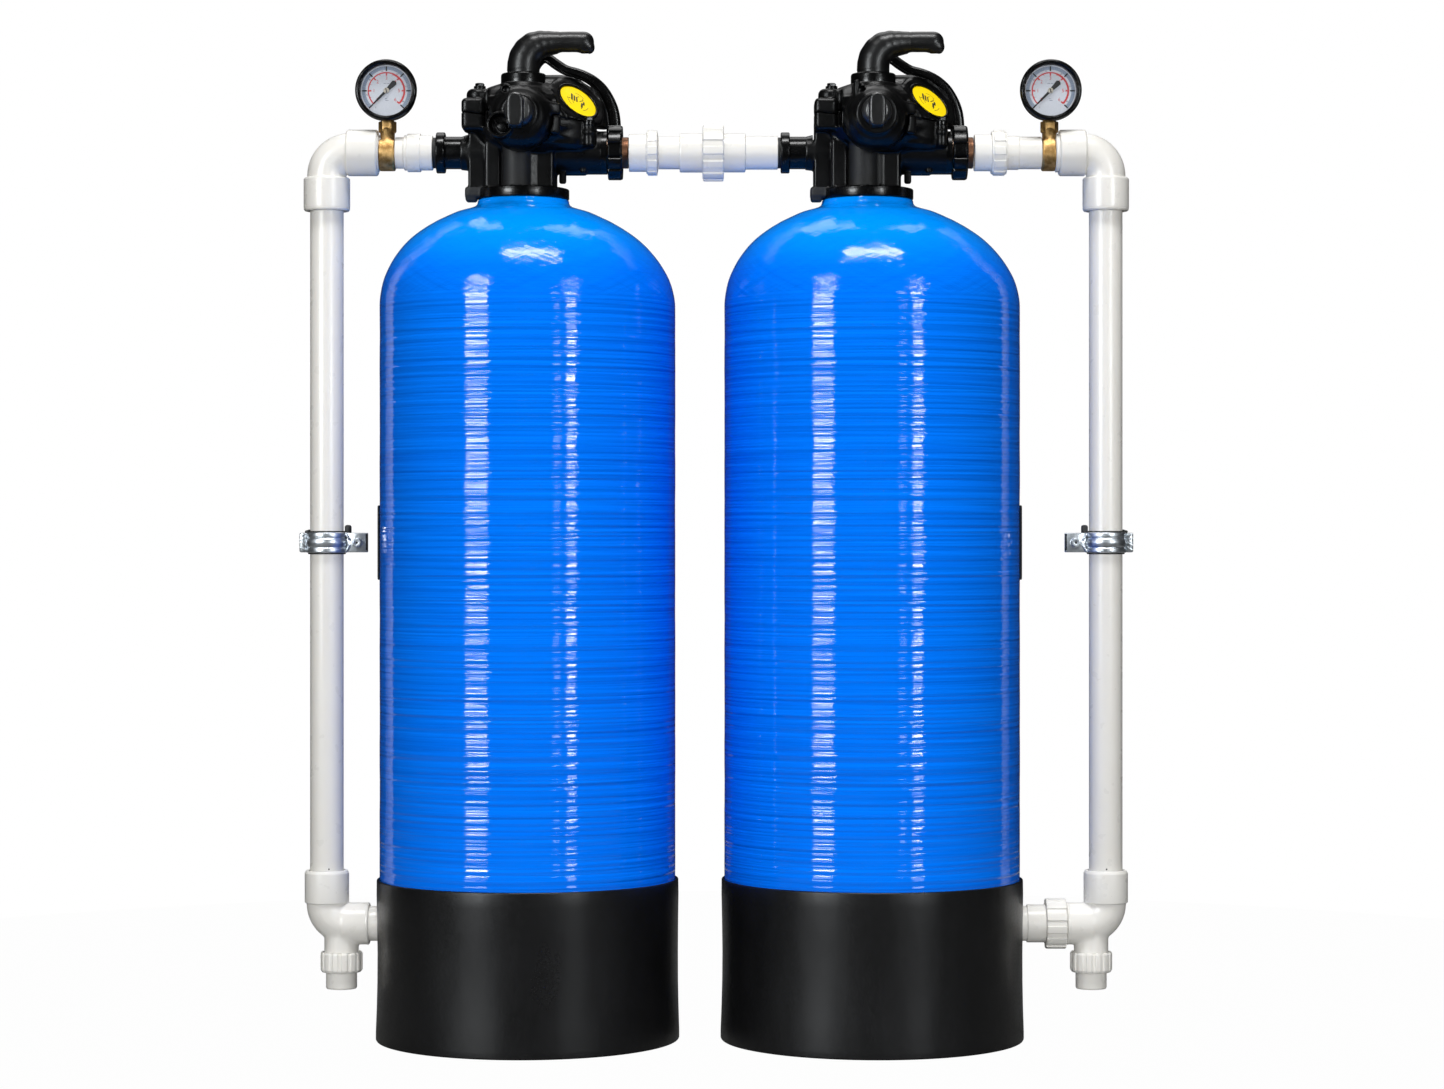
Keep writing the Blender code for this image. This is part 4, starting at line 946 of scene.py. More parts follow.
    # Label: raised rim, yellow disc and its print.
    tilt = DIAL_TURN
    base = seat - normal * 1.3
    shells.append((ringed([(24.8, 0.7), (24.8, -1.6), (21.9, -1.6), (21.9, 0.7)], 96, tuple(seat), tilt, 0.6), "valve"))
    shells.append((solid([(0, 0.55), (21.5, 0.55, 0.3), (21.8, 0.1), (21.8, -0.5), (0, -0.5)][::-1], 96, tuple(base), tilt, 0.2), "yellow"))
    marks = []
    top = 0.56
    for a0 in (25, 150, 268):
        marks.append(arc_band(12.5, 0.55, math.radians(a0), math.radians(a0 + 52), top - 0.05, top + 0.06, 16, tilt, tuple(base)))
    for k, (px, py, w, t, turn) in enumerate(((-5.0, 6.4, 10.5, 2.2, 62), (-2.6, 4.4, 9.0, 1.9, 62), (-0.2, 2.6, 8.0, 1.6, 64), (5.0, 1.0, 6.4, 0.9, 20),
                                              (6.6, -2.6, 5.6, 2.0, 60), (2.4, -5.4, 7.6, 2.3, 58), (3.4, 6.8, 4.6, 0.7, 15), (-7.4, -1.0, 4.4, 0.6, 75),
                                              (0.4, -8.8, 4.0, 1.1, 50), (8.6, 3.4, 4.2, 0.7, 66), (-9.4, 4.4, 3.4, 0.6, 20))):
        c2 = Vector(base) + tilt @ Vector((px, py, top))
        marks.append(slab((w, t, 0.14), tuple(c2), tilt @ Matrix.Rotation(math.radians(turn), 3, "Z"), 0.02))
    shells += [(m, "print") for m in marks]
    piece(f"valve_head_{side}", shells, replaces=(f"valve_cover_{side}",), angle=38)


BRIDGE = [
    (6, 41, 979, 6.0, 6.0), (6.4, 41, 998, 6.0, 6.0), (9.5, 40.5, 1013, 5.6, 6.2), (17, 39.2, 1021.6, 5.2, 6.6), (24, 38, 1021.6, 5.2, 7.0),
    (32.3, 37.2, 1015.8, 5.3, 7.6), (42.7, 36.9, 1009.4, 5.2, 8.2), (53.7, 36.7, 1006.2, 5.2, 8.6), (63, 36.5, 1002.6, 5.3, 8.8), (71.6, 36.5, 997.4, 5.6, 8.8),
    (79.7, 36.5, 989.4, 6.2, 8.8), (86.1, 36.5, 979.0, 6.7, 8.8), (90.8, 36.8, 967.5, 6.9, 8.6), (92.8, 37, 955.4, 7.0, 8.2), (92.8, 37, 943.0, 7.0, 7.8),
    (89.6, 36.5, 929.5, 6.8, 7.4), (82, 34, 918.5, 6.8, 7.0), (70, 30.5, 916.0, 6.8, 6.8),
]


def valve_bridge(side):
    x = (VALVE_X[side] + HEAD_X[side]) / 2
    path = smooth_path([(x + px, py, pz, a, b) for px, py, pz, a, b in BRIDGE], 6)
    shells = [(sweep(path, 40, 3.2), "valve")]
    # A raised rib along its outer edge.
    tangent = np.gradient(path[:, :3], axis=0)
    tangent /= np.linalg.norm(tangent, axis=1)[:, None]
    up = np.cross(tangent, (0, 1, 0))
    rib = path[14:-16].copy()
    rib[:, :3] -= up[14:-16] * (path[14:-16, 3, None] - 0.6)
    rib[:, 1] -= 6.0
    rib[:, 3], rib[:, 4] = 1.5, 1.7
    shells.append((sweep(rib, 16, 2.4), "valve"))
    piece(f"valve_bridge_arm_{side}", shells, replaces=(f"valve_bridge_{side}",), angle=45)


def valve_lever(side):
    h = HEAD_X[side]
    step = 0.95
    cast = Cast((h - 20, -19, 998), (h + 84, 19, 1047), step)
    stem = [(-0.2, 1003.5, 17.0), (0.0, 1010.5, 16.8), (1.4, 1017.2, 16.6), (5.0, 1023.4, 16.2), (10.6, 1028.4, 15.6),
            (17.6, 1031.0, 14.4), (26.0, 1032.2, 12.8), (34.0, 1032.9, 11.6), (41.0, 1033.2, 11.0)]
    cast.add(c_chain([(h + x, 0, z, r) for x, z, r in stem]), 0)
    cast.add(c_chain([(h + x, 0, z, r) for x, z, r in [(41.0, 1033.2, 11.0), (52.0, 1033.4, 10.8), (61.4, 1033.0, 11.2)]]), 0.6)
    cast.add(c_box((h + 54.8, 0, 1033.0), (36.4, 19.4, 21.6), r=9.5), 1.6)
    cast.add(c_chain([(h + 62.0, -3.0, 1027.6, 6.4), (h + 67.4, -3.0, 1028.0, 6.4)]), 2.0)
    cast.add(c_chain([(h + 62.0, 3.0, 1027.6, 6.4), (h + 67.4, 3.0, 1028.0, 6.4)]), 2.0)
    # Finger hollow under the grip, inside a thin lip.
    cast.cut(c_box((h + 52.0, 0, 1020.4), (32.0, 13.0, 8.6), r=3.8), 1.0)
    cast.cut(c_cyl((h, 0, 990), (0, 0, 1), 30, 13.6, 0.1), 0.2)
    # The mould line between stem and grip.
    cast.cut(c_turned((h + 38.4, 0, 1033.0), (1, 0, 0), [(10.8, -0.3), (15.0, -0.3), (15.0, 0.3), (10.8, 0.3)]), 0.2)
    shells = [(cast.skin(), "lever")]
    shells.append((ringed([(16.8, 1000.9), (16.8, 1005.6), (12.0, 1005.6), (12.0, 1000.9)], 72, (h, 0, 0), "Z", 0.5), "lever"))
    piece(f"lever_{side}_grip", shells, f"lever_{side}", (f"valve_lever_{side}",), angle=50)


def valve_knob(side):
    h = HEAD_X[side]
    step = 0.85
    cast = Cast((h - 17, -103.6, KNOB_Z - 18), (h + 17, -76, KNOB_Z + 18), step)
    cast.add(c_turned((h, 0, KNOB_Z), (0, -1, 0), [(0, 78.4), (15.4, 78.4), (15.4, 82), (14.4, 86.2), (11.0, 89.0), (5.0, 90), (0, 90)]), 0)
    lean = -3.0 if side == "L" else 0.0
    for dz in (-9.4, 9.4):
        cast.add(c_cyl((h + lean, -80.0, KNOB_Z - 1.0 + dz), (0, -1, 0), 8.3, 22.6, 2.6), 0)
        cast.add(c_box((h + lean, -91.3, KNOB_Z - 1.0), (13.0, 22.6, 32.0), r=2.4), 0.6)
    cast.add(c_box((h + lean, -91.3, KNOB_Z - 1.0), (16.6, 22.6, 20.0), r=2.4), 0.2)
    shells = [(cast.skin(), ("knob", "lever", lambda m: (m[:, 1] < -102.4)))]
    shells.append((ringed([(15.6, 77.6), (15.6, 80.6), (12.0, 80.6), (12.0, 77.6)], 72, (h, 0, KNOB_Z), "-Y", 0.5), "valve"))
    piece(f"knob_{side}_wing", shells, f"knob_{side}", (f"valve_knob_{side}",), angle=50)


def port_nut(side):
    v = VALVE_X[side]

    def shape(radius, height, angle):
        lobes = 12
        phase = (angle * lobes / math.tau) % 1.0
        groove = np.clip(1 - np.abs(phase - 0.5) / 0.13, 0, 1)
        groove = groove * groove * (3 - 2 * groove)
        return radius - (radius > 25) * groove * 1.9 * (height < 101.5)

    outer = [(27.4, 87.9), (28.2, 89.0), (28.2, 101.0), (27.2, 103.1), (24.0, 103.1), (23.0, 101.6), (17.3, 101.6), (17.3, 87.9)]
    shell = ringed(outer, 192, (v, 0, PORT_Z), "X", 0.8, shape)
    piece(f"port_ring_nut_{side}", [(shell, "valve")], replaces=(f"port_nut_{side}",), angle=35)
    thread = [(12.4, 64.0), (16.5, 64.0)]
    z = 100.0
    while z < 108.9:
        thread += [(16.5, z), (15.9, z + 0.45)]
        z += 0.9
    thread += [(16.2, 109.1), (12.4, 109.1)]
    piece(f"port_thread_{side}", [(lathe(thread, 72, (v, 0, PORT_Z), "X", True), "copper")], replaces=(f"port_nipple_{side}",))


# ---- gauges ------------------------------------------------------------------------
FACE_TURN = Matrix.Rotation(math.radians(90), 3, "X")     # a dial's x, y plane stood up, facing the front


def gauge(side):
    x, z = GAUGE_X[side], GAUGE_Z
    at = (x, 0, z)
    case = [(0, -10.8), (26.5, -10.8, 1.6), (29.2, -8.6, 2.0), (29.4, 9.6, 0.6), (30.2, 11.0, 0.6), (31.6, 12.2, 0.8), (31.9, 14.0, 0.8),
            (31.9, 17.6, 1.6), (30.2, 19.8, 1.4), (28.4, 19.9, 0.5), (27.6, 18.9, 0.4), (27.2, 18.9, 0.4), (26.5, 17.4, 0.6), (26.5, 10.2, 0.2), (0, 10.2)][::-1]
    shells = [(solid(case, 120, at, "-Y", 0.5), "gauge")]
    piece(f"gauge_case_shell_{side}", shells, replaces=(f"gauge_case_{side}",))

    def on(px, py, depth):
        return (x + px, -depth, z + py)

    dial = [(solid([(0, 11.05), (26.9, 11.05), (26.9, 10.4), (0, 10.4)][::-1], 96, at, "-Y", 0.2), "dial")]
    face = 11.06

    def band(radius, width, a0, a1, finish, up=0.05):
        # Angles are clockwise from the top, as on a dial.
        b0, b1 = math.radians(90 - a0), math.radians(90 - a1)
        dial.append((arc_band(radius, width, b1, b0, 0.0, up, 64, FACE_TURN, (x, -face, z)), finish))

    def tick(angle, r0, r1, width, finish, up=0.06):
        a = math.radians(90 - angle)
        mid = (r0 + r1) / 2
        turn = FACE_TURN @ Matrix.Rotation(a, 3, "Z")
        centre = (x + mid * math.cos(a), -face - up / 2, z + mid * math.sin(a))
        dial.append((slab((r1 - r0, width, up), centre, turn, 0.01), finish))

    band(23.6, 3.4, -135, 135, "dial_band", 0.02)
    band(25.2, 0.3, -135, 135, "ink_grey", 0.05)
    band(21.9, 0.22, -135, 135, "ink_grey", 0.05)
    for i in range(61):
        angle = -135 + 4.5 * i
        major = i % 10 == 0
        tick(angle, 20.4 if major else (21.9 if i % 5 == 0 else 22.9), 25.4, 1.5 if major else 0.4, "ink" if major else "ink_grey")
    band(18.8, 1.3, -135, 20, "ink_red")
    band(18.5, 2.0, 20, 135, "ink_red")
    for i in range(13):
        angle = -135 + 22.5 * i
        tick(angle, 15.6 if i % 2 == 0 else 17.0, 18.6, 1.6 if i % 2 == 0 else 0.6, "ink_red")
    for i, text in enumerate(("0", "1", "2", "3", "4", "5", "6")):
        a = math.radians(90 + 135 - 45 * i)
        dial.append((lettering(text, 5.2, on(13.0 * math.cos(a), 13.0 * math.sin(a), face + 0.02), FACE_TURN, 0.04), "ink_red"))
    for i, text in enumerate(("0", "15", "30", "45", "60", "75", "90")):
        a = math.radians(90 + 135 - 45 * i + 12)
        dial.append((lettering(text, 2.2, on(20.6 * math.cos(a), 20.6 * math.sin(a), face + 0.04), FACE_TURN, 0.04), "ink"))
    for px, py, w in ((-1.6, 7.6, 3.0), (1.9, 7.6, 2.4), (-0.6, -8.2, 2.4), (0.4, -10.0, 3.6)):
        dial.append((slab((w, 0.55, 0.06), (x + px, -face - 0.03, z + py), FACE_TURN, 0.01), "ink_grey"))
    piece(f"gauge_face_{side}", dial, replaces=(f"gauge_dial_{side}",), angle=30)

    # Pointer: tapering arm and broad tail, at rest on the scale's zero.
    out = Vector((math.sin(math.radians(-135)), 0, math.cos(math.radians(-135))))
    turn = Matrix.Rotation(math.radians(-135), 3, "Y") @ FACE_TURN
    arm = [(-1.5, -2.0), (1.5, -2.0), (1.1, 12.0), (0.4, 21.8), (-0.4, 21.8), (-1.1, 12.0)]
    tail = [(-1.4, 2.0), (-2.9, -11.8), (-1.2, -13.4), (1.2, -13.4), (2.9, -11.8), (1.4, 2.0)]
    needle = [(plate(arm, 0, 0.35, turn, on(0, 0, 12.2)), "ink"), (plate(tail, 0, 0.35, turn, on(0, 0, 12.2)), "ink")]
    needle.append((solid([(0, 1.3), (2.4, 1.3), (3.0, 0.7), (3.0, -0.2), (0, -0.2)][::-1], 40, on(0, 0, 12.4), "-Y", 0.3), "hub"))
    # A near-black slab across the hub: painted shade of its slot.
    needle.append((slab((0.9, 4.6, 0.25), on(0, 0, 13.72), turn @ Matrix.Rotation(math.radians(60), 3, "Z"), 0.03), "shade"))
    piece(f"gauge_pointer_{side}", needle, f"needle_{side}", (f"gauge_needle_{side}",), angle=30)
    lens = [(0, 16.9), (20, 16.75), (27.2, 16.2), (27.2, 15.9), (20, 16.4), (0, 16.5)][::-1]
    piece(f"gauge_glass_{side}", [(lathe(lens, 96, at, "-Y"), "glass")], replaces=(f"gauge_lens_{side}",), angle=30)


def gauge_tee(side):
    x, gx = TEE_X[side], GAUGE_X[side]
    out = OUT[side]
    width = 8.2 if side == "L" else 6.9
    mid = (x + gx) / 2
    step = 0.9
    cast = Cast((x - 13, -22, 896), (x + 13, 22, 953), step)
    cast.add(c_cyl((x - width, 0, PORT_Z - 0.6), (1, 0, 0), 18.3, 2 * width, 1.2), 0)
    cast.cut(c_box((x - width - 1.0, 0, 940.0), (9.0, 50, 17.0), Matrix.Rotation(math.radians(-40), 3, "Y"), 0.6), 1.0)
    cast.cut(c_box((x + width + 1.0, 0, 940.0), (9.0, 50, 17.0), Matrix.Rotation(math.radians(40), 3, "Y"), 0.6), 1.0)
    for y in (-11.6, 11.6):
        cast.add(c_chain([(mid, y, 921.5, 5.6), (gx, y * 0.3, 939.0, 6.9)]), 1.0)
    cast.add(c_cyl((gx, 0, 924), (0, 0, 1), 7.6, 17.0, 0.4), 0.8)
    shells = [(cast.skin(), "brass")]
    shells.append((plate(circle(9.4, 6, a0=0, a1=math.tau), 940.2, 951.0, at=(gx, 0, 0), f=0.8), "brass"))
    shells.append((ringed([(8.9, 941.0), (8.9, 939.4), (5.0, 939.4), (5.0, 941.0)], 48, (gx, 0, 0), "Z", 0.4), "brass"))
    shells.append((ringed([(6.9, 952.6), (6.9, 950.4), (4.0, 950.4), (4.0, 952.6)], 48, (gx, 0, 0), "Z", 0.3), "brass"))
    spigot = [(17.0, 0), (17.0, width + 12), (16.4, width + 20), (12.8, width + 20), (12.8, 0)]
    shells.append((ringed(spigot, 72, (x, 0, PORT_Z), "-X" if side == "L" else "X", 0.5), "pvc"))
    piece(f"gauge_tee_cast_{side}", shells, replaces=(f"gauge_tee_{side}",), angle=40)


# ---- white pipework -------------------------------------------------------------------
def white(name, shells, replaces):
    piece(name, [(s, "pvc") for s in shells], replaces=replaces, angle=34)


def port_adaptor(side):
    at = (0, 0, PORT_Z)
    if side == "L":
        x0 = 332.9
        profile = [(12.0, x0 - 0.1), (16.2, x0 - 0.1, 0.5), (16.2, 324.4, 0.3), (18.1, 323.6, 0.6), (18.1, 321.2, 0.3), (18.1, 294.2, 1.0), (12.1, 293.8), (9.0, 293.8), (9.0, x0 - 0.1)]
        shells = [(ringed(profile[::-1], 96, at, "-X", 0.5), "pvc")]
        # Flat ring moulded low on the coupling.
        ring = []
        for p in [(19.8, 320.4), (19.8, 306.8), (17.0, 306.8), (17.0, 320.4)]:
            ring.append(p)
        shells.append((ringed(ring, 96, at, "-X", 0.5, None), "pvc"))
        thread = [(9.2, 294.0), (12.1, 294.0)]
        z = 293.4
        while z > 273:
            thread += [(12.1, z), (11.3, z - 0.6)]
            z -= 1.2
        thread += [(11.4, 272.3), (9.2, 272.3)]
        shells.append((lathe(thread, 60, at, "-X", True), "pvc"))
        # A near-black ring at the thread's root: painted shade.
        shells.append((ringed([(15.9, 293.9), (15.9, 290.9), (12.4, 290.9), (12.4, 293.9)], 60, at, "-X", 0.2), "shade"))
        shells.append((ringed([(14.6, 293.0), (14.9, 291.6), (12.4, 291.4), (12.4, 293.0)], 60, at, "-X", 0.2), "steel"))
        piece("port_adaptor_run_L", shells, replaces=("port_adaptor_L",), angle=34)
        return
    x0 = 337.4
    shells = [ringed([(17.0, 267.5), (18.9, 267.5, 0.8), (18.9, 284.8, 0.3), (22.0, 285.3, 0.8), (22.0, 301.0), (17.5, 301.0, 0.2), (17.5, 313.4, 0.5),
                      (16.8, 314.0, 0.3), (16.8, x0 - 0.1, 1.0), (12.0, x0 - 0.1), (9.0, x0 - 4), (9.0, 282), (17.0, 282)], 96, at, "X", 0.5)]
    shells.append(ribbed(at, "X", 23.7, 287.0, 299.6, 10))
    white("port_adaptor_run_R", shells, ("port_adaptor_R",))


def ribbed(at, along, radius, low, high, count, inner=None, depth=1.3, n=240, phase=0.0, share=0.62, f=1.4):
    """A ring nut with broad pads and grooves between them."""
    def shape(r, height, angle):
        t = ((angle + phase) * count / math.tau) % 1.0
        edge = np.minimum(t, 1 - t) * 2
        pad = np.clip((edge - (1 - share)) / 0.10, 0, 1)
        pad = pad * pad * (3 - 2 * pad)
        return r - (r > radius - 3.0) * (1 - pad) * depth
    inner = inner if inner is not None else radius - 5.0
    return ringed([(radius, low, f), (radius, high, f), (inner, high, 0.6), (inner, low, 0.6)], n, at, along, 0.8, shape)


def elbow_path(points, n=56):
    return sweep(points, n)


def top_elbow(side):
    s = -OUT[side]                       # +1 on the left: x is mirrored for the right
    face = 351.1 if side == "L" else 355.6
    sgn = OUT[side]
    bend = 24.0
    cx, cz = RISER_X - bend, PORT_Z - bend
    body = [(376.0, PORT_Z, 20.3)]
    for i in range(25):
        a = math.radians(90 - 90 * i / 24)
        body.append((cx + bend * math.cos(a), cz + bend * math.sin(a), 20.35))
    body.append((RISER_X, 889.0, 20.3))
    rows = [(sgn * x, 0, z, r) for x, z, r in body]
    shells = [sweep(rows, 72)]
    # Sockets with a rolled lip and a fine parting edge.
    along = "-X" if side == "L" else "X"
    shells.append(ringed([(22.9, face, 0.9), (24.0, face + 1.6, 0.9), (24.0, 381.6, 1.2), (22.6, 383.4, 0.6), (18.5, 383.4), (18.5, face + 0.2)], 96, (0, 0, PORT_Z), along, 0.5))
    shells.append(ringed([(22.6, 892.6, 0.9), (24.0, 891.0, 1.2), (24.0, 861.4, 0.5), (23.7, 860.6, 0.3), (23.9, 859.9, 0.3), (22.8, 858.0, 1.0), (18.5, 858.0), (18.5, 892.6)],
                          96, (sgn * RISER_X, 0, 0), "Z", 0.5))
    white(f"top_elbow_moulding_{side}", shells, (f"top_elbow_{side}",))
    # Pale collar between the elbow and the brass tee.
    x1 = abs(TEE_X[side]) + (8.3 if side == "L" else 7.0)
    white(f"elbow_collar_{side}", [ringed([(18.9, x1, 0.5), (20.3, x1 + 0.9, 0.8), (18.6, face + 3.0, 0.5), (17.2, face + 3.0), (17.2, x1)], 96, (0, 0, PORT_Z), along, 0.4)], ())


def riser(side):
    x = OUT[side] * RISER_X
    shells = [(ringed([(17.3, 148.0), (17.3, 884.0), (14.0, 884.0), (14.0, 148.0)], 96, (x, 0, 0), "Z", 0.6), "pvc")]
    dx = 4.0 if side == "L" else -1.0
    y = -math.sqrt(17.3 ** 2 - dx ** 2)
    shells.append((solid([(0, 0.32), (0.7, 0.32), (0.85, 0.1), (0.85, -0.6), (0, -0.6)][::-1], 20, (x + dx, y, 176.4), "-Y", 0.1), "ink"))
    piece(f"riser_pipe_{side}", shells, replaces=(f"riser_{side}",), angle=34)


def bottom_elbow(side):
    sgn = OUT[side]
    face = 359.9 if side == "L" else 362.9
    step = 1.6
    x_in, x_out = sorted((sgn * (face - 3), sgn * 430))
    cast = Cast((x_in, -25, 82), (x_out, 25, 180), step)
    bend = 21.0
    cx, cz = RISER_X - bend, LOW_Z + bend
    chain = [(sgn * RISER_X, 0, 152.0, 20.8)]
    for i in range(13):
        a = math.radians(-90 * i / 12)
        chain.append((sgn * (cx + bend * math.cos(a)), 0, cz + bend * math.sin(a), 20.9))
    cast.add(c_chain(chain), 0)
    along = (sgn, 0, 0)
    cast.add(c_cyl((sgn * (face + 0.6), 0, LOW_Z), along, 21.7, 27.0, 0.8), 1.2)
    cast.add(c_cyl((sgn * BRANCH_X, 0, 87.0), (0, 0, 1), 17.8, 26.0, 0.6), 1.6)
    cast.add(c_cyl((sgn * RISER_X, 0, 140.0), (0, 0, 1), 22.3, 31.0, 0.6), 1.0)
    cast.cut(c_cyl((sgn * (face - 4), 0, LOW_Z), along, 19.0, 18.0, 0.2), 0.2)
    cast.cut(c_cyl((sgn * BRANCH_X, 0, 80.0), (0, 0, 1), 15.5, 14.0, 0.2), 0.2)
    cast.cut(c_cyl((sgn * RISER_X, 0, 160.0), (0, 0, 1), 18.4, 20.0, 0.2), 0.2)
    shells = [cast.skin()]
    shells.append(ringed([(21.4, 174.2, 1.4), (22.9, 171.2, 1.2), (22.9, 141.0, 0.9), (21.0, 139.8, 0.4), (18.5, 139.8), (18.5, 174.2, 0.6)], 96, (sgn * RISER_X, 0, 0), "Z", 0.5))
    shells.append(ringed([(21.0, face, 0.7), (22.0, face + 1.2, 0.7), (21.6, face + 3.4, 0.8), (18.6, face + 3.4), (18.6, face)], 96, (0, 0, LOW_Z), "X" if sgn > 0 else "-X", 0.4))
    white(f"bottom_elbow_moulding_{side}", shells, (f"bottom_elbow_{side}",))


def drain(side):
    at = (OUT[side] * BRANCH_X, 0, 0)

    def shape(r, height, angle):
        t = ((angle + 0.2) * 14 / math.tau) % 1.0
        edge = np.minimum(t, 1 - t) * 2
        pad = np.clip((edge - 0.30) / 0.14, 0, 1)
        pad = pad * pad * (3 - 2 * pad)
        return r - (r > 20.6) * (1 - pad) * 0.95
    nut = ringed([(20.8, 89.6, 1.0), (21.8, 87.6, 1.0), (21.8, 71.2, 1.4), (20.0, 68.6, 0.8), (16.5, 68.6), (16.5, 82.4), (18.2, 82.4), (18.2, 89.6, 0.6)], 224, at, "Z", 0.4, shape)
    lip = ringed([(19.6, 90.0, 0.5), (20.9, 88.8, 0.6), (20.9, 84.0), (18.3, 84.0), (18.3, 90.0, 0.4)], 96, at, "Z", 0.3)
    white(f"drain_union_nut_{side}", [nut], (f"drain_nut_{side}",))
    stub = ringed([(17.5, 85.2), (17.5, 83.1), (16.1, 83.1), (16.1, 52.8, 1.2), (15.2, 51.3, 0.5), (12.5, 51.3, 0.5), (12.5, 85.2)], 96, at, "Z", 0.5)
    white(f"drain_tail_{side}", [stub], (f"drain_stub_{side}",))


def inlets():
    outer = -(TANK_X["L"] - 140.0)
    white("inlet_stub_pipe_L", [ringed([(18.0, outer), (18.0, 377.0), (14.1, 377.0), (14.1, outer)], 96, (0, 0, LOW_Z), "-X", 0.4)], ("inlet_stub_L",))
    start = TANK_X["R"] + 140.0
    tail = ringed([(18.0, start), (18.0, 321.8, 0.2), (19.6, 322.2, 0.6), (19.6, 341.4, 0.5), (18.0, 341.8, 0.2), (18.0, 377.0), (14.1, 377.0), (14.1, start)], 96, (0, 0, LOW_Z), "X", 0.4)
    white("inlet_tail_pipe_R", [tail], ("inlet_tail_R",))
    nut = ribbed((0, 0, LOW_Z), "X", 26.3, 341.4, 362.4, 12, 20.4, 1.5, 240, 0.1)
    white("inlet_union_nut_R", [nut], ("inlet_nut_R",))


def link():
    at = (0, 0, PORT_Z)
    start = VALVE_X["L"] + 109.4
    adaptor = ringed([(17.1, start + 0.2), (19.5, start + 0.2, 0.8), (19.5, -72.8, 0.3), (22.0, -72.2, 1.0), (22.0, -61.4), (19.0, -60.5, 0.3), (12.1, -60.5), (12.1, start + 14), (17.1, start + 14)], 96, at, "X", 0.5)
    white("link_adaptor_run", [adaptor, ribbed(at, "X", 23.6, -71.2, -61.2, 10, depth=1.1, f=0.9)], ("link_adaptor",))
    white("link_pipe_run", [ringed([(16.9, -60.0), (16.9, -24.2), (13.1, -24.2), (13.1, -60.0)], 96, at, "X", 0.4)], ("link_pipe",))
    end_l = ringed([(17.4, -38.0), (19.8, -38.0, 0.6), (20.2, -36.6, 0.6), (20.2, -8.6, 0.3), (22.2, -8.0, 0.4), (22.2, -3.8), (13.1, -3.8), (13.1, -23.8), (17.4, -23.8)], 96, at, "X", 0.5)
    white("union_socket_L", [end_l], ("union_end_L",))
    nut = [ribbed(at, "X", 29.4, -13.9, 7.6, 12, 24.0, 1.6, 240, 0.25, 0.60, 1.8),
           ringed([(20.7, -14.3), (26.6, -14.3, 1.0), (27.6, -13.0, 0.6), (27.6, 6.8, 0.6), (26.6, 7.8, 0.8), (20.7, 7.8)], 96, at, "X", 0.5)]
    white("union_ring_nut", nut, ("union_nut",))
    v = VALVE_X["R"]
    end = v - 90.4 - 2.6
    end_r = ringed([(9.8, -3.0), (21.9, -3.0), (21.9, 2.3, 0.5), (20.1, 3.0, 0.2), (20.1, 29.8, 1.0), (17.2, 30.6, 0.3), (17.2, 63.4, 0.5), (15.9, 64.0, 0.3), (15.9, end - 0.2, 0.6),
                    (12.1, end), (12.1, v - 66.2), (9.8, v - 66.2)], 96, at, "X", 0.4)
    # A near-black ring just past the socket's end: painted shade of the gap to the port.
    ringd = [ringed([(16.0, end - 0.1), (16.0, end + 2.6), (12.3, end + 2.6), (12.3, end - 0.1)], 60, at, "X", 0.2)]
    piece("union_socket_R", [(end_r, "pvc"), (ringd[0], "shade")], replaces=("union_end_R",), angle=34)


